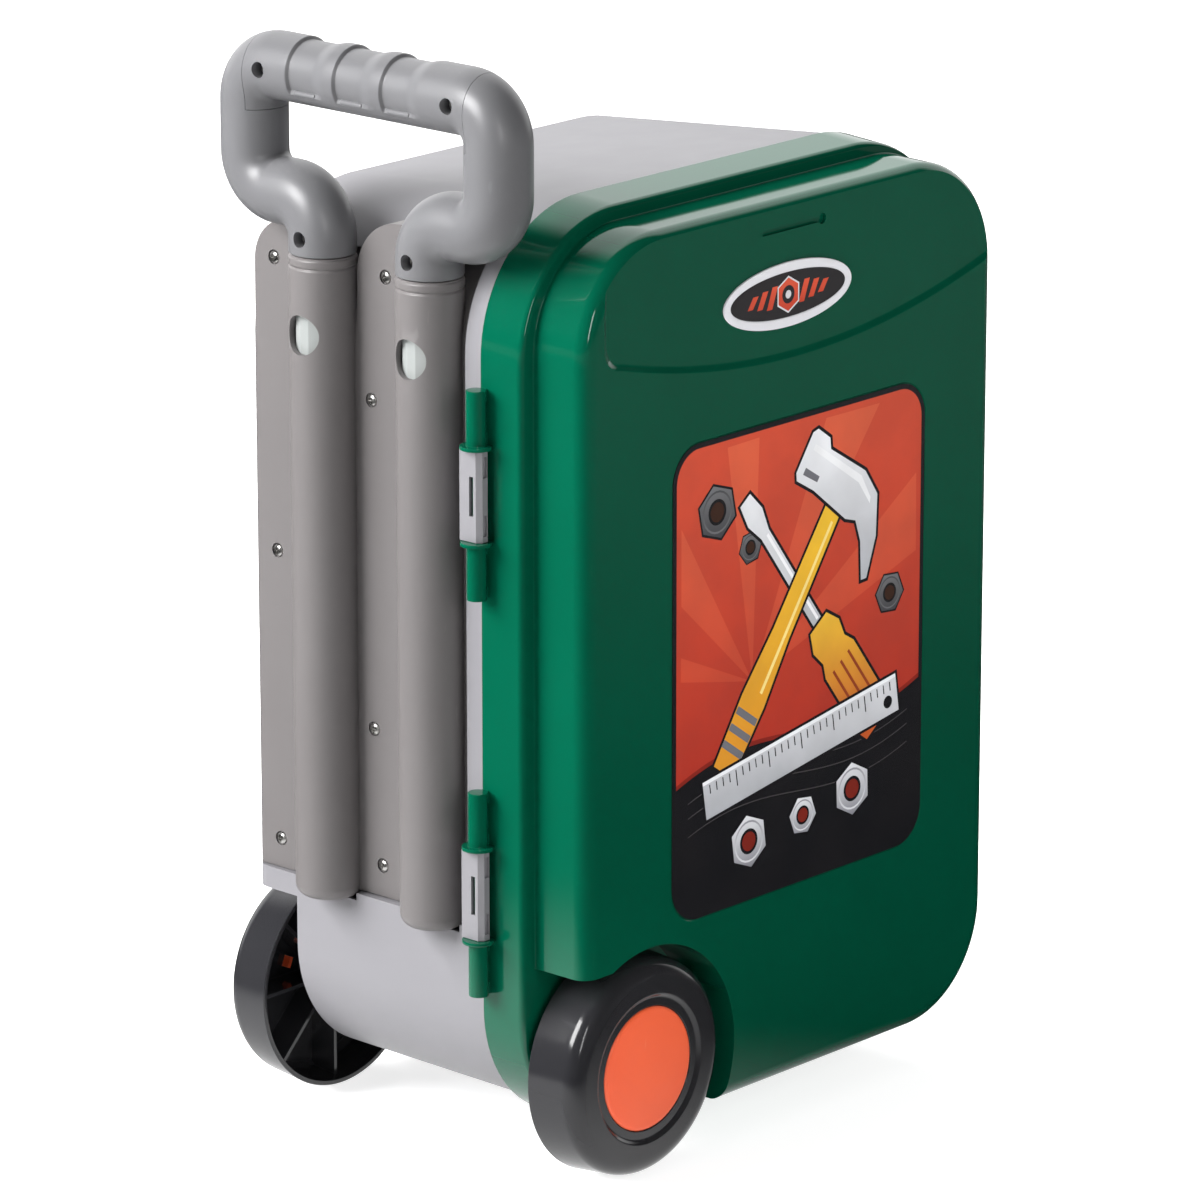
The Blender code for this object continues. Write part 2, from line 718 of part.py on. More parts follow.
def case_hollow_mesh() -> bpy.types.Mesh:
    """The space inside the case, open to the front."""
    inner = CASE_FRONT_SECTION.inset(CASE_WALL)
    rings = [inner.ring(CASE_FRONT_Y - OVERRUN), inner.ring(CASE_FRONT_Y)]
    end = CASE_BACK_Y - CASE_WALL
    for inset, advance in reversed(quarter_round(CASE_BACK_ROUND - CASE_WALL, EDGE_STEPS)):
        depth = end - advance
        rings.append(case_section(depth).inset(CASE_WALL + inset).ring(depth))
    return loft_mesh("case_hollow", rings)


def rear_well_mesh(name: str, growth: float, forward: float) -> bpy.types.Mesh:
    """The rear wheel's well, or the same grown by a wall."""
    outline = well_outline(REAR_WELL_ROOF, growth)
    return prism_mesh(name, outline, REAR_WELL_FRONT - forward, CASE_BACK_Y + OVERRUN)


def finish_case_shell(model: Model, shell: bpy.types.Object) -> None:
    """Axle boss, feet holes, screw holes and the notches round the hinge discs and handle sockets."""
    boss_start = REAR_WELL_FRONT - CASE_WALL - AXLE_END_REACH
    boss_end = REAR_WHEEL_INNER + WHEEL_HUB_INSET - SLIDE_GAP
    boss_place = Vector((WHEEL_X, boss_start, WHEEL_HEIGHT))
    boss = rods_mesh("rear_boss", [(boss_place, AXLE_BOSS_RADIUS, boss_end - boss_start)], "Y", PIN_SIDES)
    join(shell, model.add("rear_boss", boss))

    bore_place = boss_place - Vector((0.0, OVERRUN, 0.0))
    bore_length = boss_end - boss_start + OVERRUN + OVERRUN
    bore = rods_mesh("rear_bore", [(bore_place, AXLE_RADIUS + FIT_GAP, bore_length)], "Y", PIN_SIDES)
    cut(shell, model.add("rear_bore", bore))

    notches = []
    for side in (-1, 1):
        for height in HINGE_HEIGHTS:
            for end in (-1, 1):
                middle = height + end * HINGE_CLIP_SPAN / 2
                thickness = HINGE_DISC_THICKNESS + FIT_GAP + FIT_GAP
                place = Vector((side * -HINGE_X, HINGE_Y, middle - thickness / 2))
                notches.append((place, HINGE_DISC_RADIUS + SLIDE_GAP, thickness))
    cut(shell, model.add("disc_notches", rods_mesh("disc_notches", notches, "Z", TUBE_SIDES)))

    sockets = []
    for depth in TUBE_AXIS_DEPTHS:
        place = Vector((TUBE_AXIS_X, depth, COVER_TUBE_BASE - FIT_GAP))
        sockets.append((place, COVER_TUBE_RADIUS + SLIDE_GAP, CASE_HEIGHT))
    cut(shell, model.add("socket_notches", rods_mesh("socket_notches", sockets, "Z", TUBE_SIDES)))

    holes = []
    for depth in FOOT_DEPTHS:
        place = Vector((FOOT_X, depth, CASE_BASE - CASE_WALL))
        holes.append((place, FOOT_STEM_RADIUS + FIT_GAP, CASE_WALL_CUT))
    cut(shell, model.add("foot_holes", rods_mesh("foot_holes", holes, "Z", PIN_SIDES)))

    screw_holes = []
    for depth, height in HOUSING_SCREW_PLACES:
        place = Vector((plate_face(depth, height), depth, height))
        screw_holes.append((place, SCREW_SHANK_RADIUS + FIT_GAP, PLATE_THICKNESS + CASE_WALL_CUT))
    cut(shell, model.add("case_screw_holes", rods_mesh("case_screw_holes", screw_holes, "X", SCREW_SIDES)))


def plate_face(depth: float, height: float) -> float:
    """X of the housing plate's outer face at a depth and height."""
    return case_section(depth).inset(plate_sink(depth)).left_edge(height)


def build_housing(model: Model, gray: bpy.types.Material) -> bpy.types.Object:
    """The handle housing: a bent plate with two half-round covers, their collars and windows."""
    plate_mesh = band_mesh("handle_housing", None, PLATE_BLANK_THICKNESS, 0.0)
    housing = model.add("handle_housing", plate_mesh, gray)

    core_rings = []
    for depth in (PLATE_FRONT - OVERRUN / 2, PLATE_BACK + OVERRUN / 2):
        core_section = case_section(depth).inset(plate_sink(depth) + PLATE_THICKNESS)
        core_rings.append(core_section.ring(depth, PLATE_CORE_STEPS))
    core = model.add("plate_core", loft_mesh("plate_core", core_rings))

    for index, depth in enumerate(TUBE_AXIS_DEPTHS):
        name = f"tube_cover_{index + 1}"
        cover = model.add(name, profile_mesh(name, cover_profile(), False))
        cover.location = Vector((TUBE_AXIS_X, depth, 0.0))
        turn_profile(cover, TUBE_SIDES)
        join(housing, cover)
    cut(housing, core)

    channels = []
    collars = []
    channel_radius = COVER_TUBE_RADIUS - COVER_TUBE_WALL
    channel_base = COVER_TUBE_BASE + COVER_TUBE_WALL
    channel_top = COVER_TUBE_TOP - COVER_TUBE_COLLAR
    for depth in TUBE_AXIS_DEPTHS:
        channel_place = Vector((TUBE_AXIS_X, depth, channel_base))
        channels.append((channel_place, channel_radius, channel_top - channel_base))
        collar_place = Vector((TUBE_AXIS_X, depth, channel_top - COVER_TUBE_COLLAR))
        collars.append((collar_place, HANDLE_TUBE_RADIUS + SLIDE_GAP, COVER_TUBE_COLLAR_CUT))
    cut(housing, model.add("tube_channels", rods_mesh("tube_channels", channels, "Z", TUBE_SIDES)))
    cut(housing, model.add("tube_collars", rods_mesh("tube_collars", collars, "Z", TUBE_SIDES)))

    windows = []
    for depth in TUBE_AXIS_DEPTHS:
        place = Vector((TUBE_AXIS_OUTER - OVERRUN, depth, WINDOW_HEIGHT))
        windows.append((place, WINDOW_RADIUS, OVERRUN + WINDOW_WALL_REACH))
    cut(housing, model.add("windows", rods_mesh("windows", windows, "X", TUBE_SIDES)))

    seats = []
    holes = []
    for depth, height in HOUSING_SCREW_PLACES:
        face = plate_face(depth, height)
        seats.append((Vector((face - OVERRUN, depth, height)), SCREW_SEAT_RADIUS, OVERRUN + SCREW_SEAT_DEPTH))
        holes.append((Vector((face, depth, height)), SCREW_SHANK_RADIUS + FIT_GAP, PLATE_HOLE_DEPTH))
    cut(housing, model.add("screw_seats", rods_mesh("screw_seats", seats, "X", PIN_SIDES)))
    cut(housing, model.add("screw_holes", rods_mesh("screw_holes", holes, "X", SCREW_SIDES)))
    return housing


def cover_profile() -> list[tuple[float, float]]:
    """Profile of a tube cover: a rim line near the top and a rounded foot."""
    radius = COVER_TUBE_RADIUS
    step = radius - COVER_TUBE_RIM_STEP
    rim = COVER_TUBE_TOP - COVER_TUBE_RIM_DROP
    profile = [
        (0.0, COVER_TUBE_TOP),
        (step, COVER_TUBE_TOP),
        (radius, COVER_TUBE_TOP - COVER_TUBE_RIM_STEP),
        (radius, rim),
        (step, rim - COVER_TUBE_RIM_STEP),
        (step, rim - COVER_TUBE_RIM),
        (radius, rim - COVER_TUBE_RIM - COVER_TUBE_RIM_STEP),
    ]
    for inset, advance in reversed(quarter_round(COVER_TUBE_ROUND, EDGE_STEPS)):
        profile.append((radius - inset, COVER_TUBE_BASE + advance))
    profile.append((0.0, COVER_TUBE_BASE))
    return profile


def screw_profile(head: float, shank: float) -> list[tuple[float, float]]:
    """A pan-head screw, head up, with its head's underside at height zero."""
    half = SCREW_HEAD_THICKNESS / 2
    return [
        (0.0, SCREW_HEAD_THICKNESS),
        (head - half, SCREW_HEAD_THICKNESS),
        (head, half),
        (head, 0.0),
        (SCREW_SHANK_RADIUS, 0.0),
        (SCREW_SHANK_RADIUS, -shank),
        (0.0, -shank),
    ]


def build_screw(
    model: Model, name: str, seat: Vector, steel: bpy.types.Material, parent: bpy.types.Object
) -> None:
    """A screw driven along +X, with a crossed recess in its head."""
    mesh = profile_mesh(name, screw_profile(SCREW_HEAD_RADIUS, SCREW_SHANK_LENGTH), False)
    turn = Matrix.Rotation(-math.pi / 2, 4, "Y")
    screw = model.add(name, mesh, steel, parent, seat, turn)
    turn_profile(screw, SCREW_SIDES)
    top = seat.x - SCREW_HEAD_THICKNESS
    half = SCREW_CROSS_LENGTH / 2
    thin = SCREW_CROSS_WIDTH / 2
    for index, (wide, tall) in enumerate(((half, thin), (thin, half))):
        low = Vector((top - SCREW_CROSS_DEPTH, seat.y - wide, seat.z - tall))
        high = Vector((top + SCREW_CROSS_DEPTH, seat.y + wide, seat.z + tall))
        slot_name = f"{name}_slot_{index + 1}"
        slot = model.add(slot_name, box_mesh(slot_name, [(low, high)]))
        cut(screw, slot)


def build_housing_screws(model: Model, steel: bpy.types.Material) -> None:
    """The seven screws that hold the housing's plate to the case."""
    for index, (depth, height) in enumerate(HOUSING_SCREW_PLACES):
        seat = Vector((plate_face(depth, height) + SCREW_SEAT_DEPTH - FIT_GAP, depth, height))
        build_screw(model, f"housing_screw_{index + 1}", seat, steel, model.root)


def build_clips(model: Model, gray: bpy.types.Material) -> None:
    """Clips on both sides of the case: bored for the hinge pins on the left, open in front on the right."""
    for side, kind in ((1, "hinge"), (-1, "latch")):
        for height, level in zip(HINGE_HEIGHTS, ("upper", "lower")):
            build_clip(model, f"{kind}_clip_{level}", side, height, gray)


def build_clip(model: Model, name: str, side: int, height: float, gray: bpy.types.Material) -> None:
    """One clip; side 1 is the hinge side and -1 the latch side, its mirror image."""
    outer = HINGE_X - CLIP_OUTER_REACH
    inner = -FLANGE_WIDTH / 2 - CLIP_FLANGE_GAP
    root = -CASE_WIDTH / 2 - FIT_GAP
    nose = HINGE_Y - CLIP_NOSE
    tail = CASE_FRONT_Y + CLIP_ROOT_DEPTH
    shoulder = CASE_FRONT_Y + FIT_GAP
    draft = CASE_SIDE_DRAFT * CLIP_ROOT_DEPTH / CASE_DEPTH
    half = HINGE_CLIP_SPAN / 2 - HINGE_DISC_THICKNESS / 2 - FIT_GAP
    outline = [
        (outer + CLIP_EDGE, nose),
        (inner - CLIP_EDGE, nose),
        (inner, nose + CLIP_EDGE),
        (inner, shoulder),
        (root, shoulder),
        (root + draft, tail),
        (outer + CLIP_EDGE, tail),
        (outer, tail - CLIP_EDGE),
        (outer, nose + CLIP_EDGE),
    ]
    rings = []
    for level in (height - half, height + half):
        rings.append([Vector((side * x, y, level)) for x, y in outline])
    clip = model.add(name, loft_mesh(name, rings), gray)

    bore_place = Vector((side * HINGE_X, HINGE_Y, height - half - OVERRUN))
    bore_radius = HINGE_PIN_RADIUS + CLIP_BORE_GAP
    bore = rods_mesh(f"{name}_bore", [(bore_place, bore_radius, 2 * (half + OVERRUN))], "Z", PIN_SIDES)
    cut(clip, model.add(f"{name}_bore", bore))

    edge = side * (HINGE_X - CLIP_OUTER_REACH)
    reach = CLIP_OUTER_REACH - HINGE_PIN_RADIUS
    low_x = min(edge - reach, edge + reach)
    high_x = max(edge - reach, edge + reach)
    slot_low = Vector((low_x, HINGE_Y - CLIP_SLOT_WIDTH / 2, height - CLIP_SLOT_HEIGHT / 2))
    slot_high = Vector((high_x, HINGE_Y + CLIP_SLOT_WIDTH / 2, height + CLIP_SLOT_HEIGHT / 2))
    cut(clip, model.add(f"{name}_slot", box_mesh(f"{name}_slot", [(slot_low, slot_high)])))
    centre_x = side * (outer + inner) / 2
    notches = []
    if side < 0:
        mouth = HINGE_PIN_RADIUS + FIT_GAP
        mouth_low = Vector((side * HINGE_X - mouth, nose - OVERRUN, height - half - OVERRUN))
        mouth_high = Vector((side * HINGE_X + mouth, HINGE_Y, height + half + OVERRUN))
        notches.append((mouth_low, mouth_high))
    else:
        for end in (-1, 1):
            middle = height + end * (half - CLIP_RECESS_MARGIN - CLIP_RECESS_HEIGHT / 2)
            low = Vector((centre_x - CLIP_RECESS_WIDTH / 2, nose - OVERRUN, middle - CLIP_RECESS_HEIGHT / 2))
            high_y = nose + CLIP_RECESS_DEPTH
            high = Vector((centre_x + CLIP_RECESS_WIDTH / 2, high_y, middle + CLIP_RECESS_HEIGHT / 2))
            notches.append((low, high))
    cut(clip, model.add(f"{name}_notches", box_mesh(f"{name}_notches", notches)))


def build_feet(model: Model, gray: bpy.types.Material) -> None:
    """Two feet under the right side, each with a stem through the case's floor."""
    top = CASE_BASE - FIT_GAP
    profile = [
        (0.0, CASE_BASE + CASE_WALL + FOOT_STEM_REACH),
        (FOOT_STEM_RADIUS, CASE_BASE + CASE_WALL + FOOT_STEM_REACH),
        (FOOT_STEM_RADIUS, top),
        (FOOT_TOP_RADIUS, top),
        (FOOT_BOTTOM_RADIUS, FOOT_EDGE),
        (FOOT_BOTTOM_RADIUS - FOOT_EDGE, 0.0),
        (0.0, 0.0),
    ]
    for depth, name in zip(FOOT_DEPTHS, ("foot_front", "foot_rear")):
        foot = model.add(name, profile_mesh(name, profile, False), gray)
        foot.location = Vector((FOOT_X, depth, 0.0))
        turn_profile(foot, TUBE_SIDES)


def build_door_shell(model: Model, green: bpy.types.Material) -> bpy.types.Object:
    """The door: a deep cover on a wider flange, hollow at the back, with the front wheel's well."""
    shell = model.add("door_shell", door_outer_mesh(), green, model.door, Vector((HINGE_X, HINGE_Y, 0.0)))
    hollow = model.add("door_hollow", door_hollow_mesh())
    outline = well_outline(FRONT_WELL_ROOF, 0.0)
    well = model.add("front_well", prism_mesh("front_well", outline, DOOR_FRONT - OVERRUN, DOOR_STEP))
    wall_outline = well_outline(FRONT_WELL_ROOF, DOOR_WALL)
    wall_mesh = prism_mesh("front_well_wall", wall_outline, DOOR_FRONT - OVERRUN, DOOR_STEP + WELL_BACK_WALL)
    cut(hollow, model.add("front_well_wall", wall_mesh))
    cut(shell, well, hollow)
    return shell


def door_outer_mesh() -> bpy.types.Mesh:
    """The door's outer form, lofted from its face to the rim that meets the case."""
    rings = []
    for inset, advance in quarter_round(COVER_ROUND, EDGE_STEPS):
        depth = DOOR_FRONT + advance
        rings.append(COVER_SECTION.inset(inset).ring(depth))
    rings.append(COVER_SECTION.ring(DOOR_STEP))
    for inset, advance in quarter_round(FLANGE_ROUND, EDGE_STEPS):
        share = 1.0 - FLANGE_ROUND_SHARE * inset / FLANGE_ROUND
        section = COVER_SECTION.blend(FLANGE_SECTION, share)
        rings.append(section.ring(DOOR_STEP + advance))
    rings.append(FLANGE_SECTION.ring(DOOR_BACK))
    return loft_mesh("door_shell", rings)


def door_hollow_mesh() -> bpy.types.Mesh:
    """The space inside the door, open at the back."""
    cover = COVER_SECTION.inset(DOOR_WALL)
    flange = FLANGE_SECTION.inset(DOOR_WALL)
    rings = []
    front = DOOR_FRONT + BROW_DEPTH + DOOR_WALL
    for inset, advance in quarter_round(COVER_ROUND - DOOR_WALL, EDGE_STEPS):
        rings.append(cover.inset(inset).ring(front + advance))
    rings.append(cover.ring(DOOR_STEP + DOOR_WALL))
    rings.append(flange.ring(DOOR_STEP + DOOR_WALL))
    rings.append(flange.ring(DOOR_BACK + OVERRUN))
    return loft_mesh("door_hollow", rings)


def brow_curve(x: float) -> float:
    """Height of the brow's lower edge at one place across the door."""
    return BROW_HEIGHT + BROW_RISE * ((x - BROW_CENTRE) / BROW_HALF_WIDTH) ** 2


def brow_outline(grow: float) -> list[tuple[float, float]]:
    """The area above the brow line, grown outward by one amount."""
    left = BROW_LEFT_EDGE - grow
    right = FLANGE_SECTION.right + BROW_MARGIN
    top = FLANGE_SECTION.top + BROW_MARGIN
    corner = BROW_LEFT_CORNER
    outline = []
    start = left + corner
    for step in range(BROW_STEPS + 1):
        x = start + (right - start) * step / BROW_STEPS
        outline.append((x, brow_curve(x) - grow))
    outline.append((right, top))
    outline.append((left, top))
    centre_z = brow_curve(start) - grow + corner
    for step in range(1, EDGE_STEPS + 1):
        angle = math.pi + math.pi / 2 * (step - 1) / EDGE_STEPS
        outline.append((start + corner * math.cos(angle), centre_z + corner * math.sin(angle)))
    return outline


def finish_door_shell(model: Model, shell: bpy.types.Object) -> None:
    """Brow, slot, label seat, axle boss, hinge rods and the pockets round the clips."""
    face = DOOR_FRONT + BROW_DEPTH
    near = DOOR_FRONT - BROW_DEPTH
    slope = BROW_SLOPE_WIDTH
    rings = []
    for depth, grow in ((near, slope), (face, 0.0)):
        rings.append([Vector((x, depth, z)) for x, z in brow_outline(grow)])
    cut(shell, model.add("brow", loft_mesh("brow", rings)))

    slot_low = Vector((SLOT_LEFT, DOOR_FRONT - OVERRUN, SLOT_CENTRE_HEIGHT - SLOT_HEIGHT / 2))
    slot_high = Vector((SLOT_LEFT + SLOT_LENGTH, face + SLOT_DEPTH, SLOT_CENTRE_HEIGHT + SLOT_HEIGHT / 2))
    cut(shell, model.add("carry_slot", box_mesh("carry_slot", [(slot_low, slot_high)])))
    bump_place = Vector((slot_high.x, DOOR_FRONT - OVERRUN, SLOT_CENTRE_HEIGHT))
    bump_length = slot_high.y - bump_place.y
    bump = rods_mesh("slot_end", [(bump_place, SLOT_BUMP_RADIUS, bump_length)], "Y", PIN_SIDES)
    cut(shell, model.add("slot_end", bump))

    seat_section = label_section().inset(-FIT_GAP)
    seat_back = DOOR_FRONT + LABEL_THICKNESS + FIT_GAP
    seat_rings = [seat_section.ring(DOOR_FRONT - OVERRUN), seat_section.ring(seat_back)]
    cut(shell, model.add("label_seat", loft_mesh("label_seat", seat_rings)))

    boss_start = FRONT_WHEEL_INNER - WHEEL_HUB_INSET + SLIDE_GAP
    boss_end = DOOR_STEP + WELL_BACK_WALL + AXLE_END_REACH
    boss_place = Vector((WHEEL_X, boss_start, WHEEL_HEIGHT))
    boss = rods_mesh("front_boss", [(boss_place, AXLE_BOSS_RADIUS, boss_end - boss_start)], "Y", PIN_SIDES)
    join(shell, model.add("front_boss", boss))
    bore_place = boss_place - Vector((0.0, OVERRUN, 0.0))
    bore_length = boss_end - boss_start + OVERRUN + OVERRUN
    bore = rods_mesh("front_bore", [(bore_place, AXLE_RADIUS + FIT_GAP, bore_length)], "Y", PIN_SIDES)
    cut(shell, model.add("front_bore", bore))

    pockets = []
    webs = []
    pocket_reach = CLIP_NOSE + CLIP_FLANGE_GAP + SLIDE_GAP
    for side in (1, -1):
        for height in HINGE_HEIGHTS:
            xs = sorted((side * HINGE_X, side * (HINGE_X + pocket_reach)))
            low = Vector((xs[0], HINGE_Y - pocket_reach, height - HINGE_CLIP_SPAN / 2))
            high = Vector((xs[1], HINGE_Y + pocket_reach, height + HINGE_CLIP_SPAN / 2))
            pockets.append((low, high))
            webs += rod_webs(side, height)
    cut(shell, model.add("clip_pockets", box_mesh("clip_pockets", pockets)))
    join(shell, model.add("rod_webs", box_mesh("rod_webs", webs)))
    for side, word in ((1, "left"), (-1, "right")):
        for height, level in zip(HINGE_HEIGHTS, ("upper", "lower")):
            name = f"{word}_rod_{level}"
            rod = model.add(name, profile_mesh(name, rod_profile(), False))
            rod.location = Vector((side * HINGE_X, HINGE_Y, height))
            turn_profile(rod, PIN_SIDES)
            join(shell, rod)


def rod_profile() -> list[tuple[float, float]]:
    """A hinge rod: thick ends, a disc beside the clip at each and a thin pin through it."""
    end = HINGE_LENGTH / 2
    span = HINGE_CLIP_SPAN / 2
    half_disc = HINGE_DISC_THICKNESS / 2
    upper = [
        (0.0, end),
        (HINGE_ROD_RADIUS, end),
        (HINGE_ROD_RADIUS, span + half_disc),
        (HINGE_DISC_RADIUS, span + half_disc),
        (HINGE_DISC_RADIUS, span - half_disc),
        (HINGE_PIN_RADIUS, span - half_disc),
    ]
    lower = [(radius, -height) for radius, height in reversed(upper)]
    return upper + lower


def rod_webs(side: int, height: float) -> list[tuple[Vector, Vector]]:
    """Four webs that tie a hinge rod's ends to the flange."""
    boxes = []
    inside = FLANGE_WIDTH / 2 - DOOR_WALL / 2
    outside = -HINGE_X
    for end in (-1, 1):
        tips = (HINGE_LENGTH / 2 - HINGE_WEB_HEIGHT / 2 - FIT_GAP, HINGE_CLIP_SPAN / 2 + HINGE_WEB_HEIGHT / 2)
        for tip in tips:
            middle = height + end * tip
            xs = sorted((-side * inside, -side * outside))
            front = HINGE_Y - HINGE_WEB_THICKNESS / 2
            back = HINGE_Y + HINGE_WEB_THICKNESS / 2 - FIT_GAP
            low = Vector((xs[0], front, middle - HINGE_WEB_HEIGHT / 2))
            high = Vector((xs[1], back, middle + HINGE_WEB_HEIGHT / 2))
            boxes.append((low, high))
    return boxes


def label_section() -> Section:
    """The outline of the label on the door's face."""
    return Section(
        LABEL_LEFT,
        LABEL_LEFT + LABEL_WIDTH,
        LABEL_BASE,
        LABEL_BASE + LABEL_HEIGHT,
        LABEL_CORNER,
    )


def build_label(model: Model, paper: bpy.types.Material) -> None:
    """The printed sheet in its seat on the door's face."""
    section = label_section()
    rings = [section.ring(DOOR_FRONT), section.ring(DOOR_FRONT + LABEL_THICKNESS)]
    hinge = Vector((HINGE_X, HINGE_Y, 0.0))
    model.add("front_label", loft_mesh("front_label", rings), paper, model.door, hinge)


def build_badge(model: Model, white: bpy.types.Material) -> None:
    """The oval badge: a raised rim round a slightly sunk field."""
    panel = DOOR_FRONT + BROW_DEPTH - FIT_GAP
    front = panel - BADGE_THICKNESS
    rings = []
    stations = (
        (panel, 0.0),
        (front, 0.0),
        (front, BADGE_RIM),
        (front + BADGE_FIELD_STEP, BADGE_RIM + BADGE_FIELD_STEP),
    )
    for depth, inset in stations:
        rings.append(oval_ring(BADGE_WIDTH / 2 - inset, BADGE_TALLNESS / 2 - inset, depth))
    mesh = loft_mesh("badge_plate", rings)
    model.add("badge_plate", mesh, white, model.door, Vector((HINGE_X, HINGE_Y, 0.0)))


def oval_ring(half_width: float, half_height: float, depth: float) -> list[Vector]:
    """An ellipse round the badge's centre."""
    points = []
    for step in range(WHEEL_SIDES):
        angle = 2 * math.pi * step / WHEEL_SIDES
        x = BADGE_CENTRE + half_width * math.cos(angle)
        z = BADGE_HEIGHT + half_height * math.sin(angle)
        points.append(Vector((x, depth, z)))
    return points


def wheel_profile() -> list[tuple[float, float]]:
    """A wheel's section: height zero is its open inner side and the top its outer face."""
    tread = WHEEL_RADIUS - WHEEL_TREAD_TAPER
    shoulder_base = WHEEL_WIDTH - WHEEL_SHOULDER
    step_inner = WHEEL_STEP_RADIUS - WHEEL_STEP_WIDTH
    pocket = WHEEL_WIDTH - CAP_POCKET
    floor = pocket - WHEEL_FACE_WALL
    profile = [
        (CAP_RADIUS + FIT_GAP, pocket),
        (CAP_RADIUS + FIT_GAP, WHEEL_WIDTH - WHEEL_STEP_DEPTH),
        (step_inner, WHEEL_WIDTH - WHEEL_STEP_DEPTH),
        (WHEEL_STEP_RADIUS, WHEEL_WIDTH),
    ]
    for inset, advance in quarter_round(WHEEL_SHOULDER, EDGE_STEPS + 2):
        profile.append((tread - inset, shoulder_base + WHEEL_SHOULDER - advance))
    profile += [
        (WHEEL_RADIUS, 0.0),
        (WHEEL_RADIUS - WHEEL_WALL, 0.0),
        (tread - WHEEL_WALL, floor - WHEEL_WALL),
        (tread - WHEEL_WALL - WHEEL_WALL, floor),
        (WHEEL_HUB_RADIUS, floor),
        (WHEEL_HUB_RADIUS, WHEEL_HUB_INSET),
        (AXLE_RADIUS + SLIDE_GAP, WHEEL_HUB_INSET),
        (AXLE_RADIUS + SLIDE_GAP, pocket),
    ]
    return profile


def build_wheel(
    model: Model, end: str, spin: bpy.types.Object, outward: int, inner: float, looks: dict
) -> None:
    """One wheel with its ribs, snap-in cap and axle pin; outward is -1 in front and 1 behind."""
    place = Vector((WHEEL_X, inner, WHEEL_HEIGHT))
    turn = Matrix.Rotation(-outward * math.pi / 2, 4, "X")
    wheel_mesh = profile_mesh(f"{end}_wheel", wheel_profile(), True)
    wheel = model.add(f"{end}_wheel", wheel_mesh, looks["black"], spin, place, turn)
    turn_profile(wheel, WHEEL_SIDES)

    floor = WHEEL_WIDTH - CAP_POCKET - WHEEL_FACE_WALL
    rib_mesh = wheel_ribs(f"{end}_ribs", floor)
    ribs = model.add(f"{end}_ribs", rib_mesh, None, spin, place, turn)
    join(wheel, ribs)
    slots_mesh = prong_boxes(f"{end}_prong_slots", FIT_GAP, floor - OVERRUN, WHEEL_WIDTH)
    cut(wheel, model.add(f"{end}_prong_slots", slots_mesh, None, spin, place, turn))

    cap_mesh = profile_mesh(f"{end}_wheel_cap", cap_profile(), False)
    cap = model.add(f"{end}_wheel_cap", cap_mesh, looks["orange"], spin, place, turn)
    turn_profile(cap, WHEEL_SIDES)
    cap_back = WHEEL_WIDTH - CAP_SINK - CAP_THICKNESS
    prongs_mesh = prong_boxes(f"{end}_prongs", 0.0, floor - CAP_PRONG_REACH, cap_back + CAP_THICKNESS / 2)
    join(cap, model.add(f"{end}_prongs", prongs_mesh, None, spin, place, turn))


def wheel_ribs(name: str, floor: float) -> bpy.types.Mesh:
    """Radial ribs between the hub and the tread on the wheel's open side."""
    bm = bmesh.new()
    start = WHEEL_HUB_RADIUS - WHEEL_WALL
    stop = WHEEL_RADIUS - WHEEL_TREAD_TAPER - WHEEL_WALL / 2
    for index in range(WHEEL_RIB_COUNT):
        angle = 2 * math.pi * index / WHEEL_RIB_COUNT
        turn = Matrix.Rotation(angle, 4, "Z")
        size = Vector((stop - start, WHEEL_RIB_THICKNESS, floor + WHEEL_FACE_WALL / 2 - WHEEL_RIB_INSET))
        middle = Vector(((start + stop) / 2, 0.0, WHEEL_RIB_INSET + size.z / 2))
        grow = Matrix.Diagonal((size.x, size.y, size.z, 1.0))
        bmesh.ops.create_cube(bm, size=1.0, matrix=turn @ Matrix.Translation(middle) @ grow)
    return mesh_from(bm, name)


def prong_boxes(name: str, grow: float, low: float, high: float) -> bpy.types.Mesh:
    """The cap's prongs, or the slots for them, midway between ribs."""
    bm = bmesh.new()
    for index in range(CAP_PRONG_COUNT):
        angle = 2 * math.pi * index / CAP_PRONG_COUNT + math.pi / WHEEL_RIB_COUNT
        turn = Matrix.Rotation(angle, 4, "Z")
        size = (CAP_PRONG_THICKNESS + 2 * grow, CAP_PRONG_WIDTH + 2 * grow, high - low)
        middle = Vector((CAP_PRONG_RADIUS, 0.0, (low + high) / 2))
        bmesh.ops.create_cube(
            bm, size=1.0, matrix=turn @ Matrix.Translation(middle) @ Matrix.Diagonal((*size, 1.0))
        )
    return mesh_from(bm, name)


def cap_profile() -> list[tuple[float, float]]:
    """A wheel cap: a thin disc with a slightly domed face."""
    edge = WHEEL_WIDTH - CAP_SINK
    back = edge - CAP_THICKNESS
    profile = []
    for step in range(EDGE_STEPS + 1):
        share = step / EDGE_STEPS
        profile.append((CAP_RADIUS * share, edge - CAP_DOME * share**2))
    profile += [(CAP_RADIUS, back), (0.0, back)]
    return profile


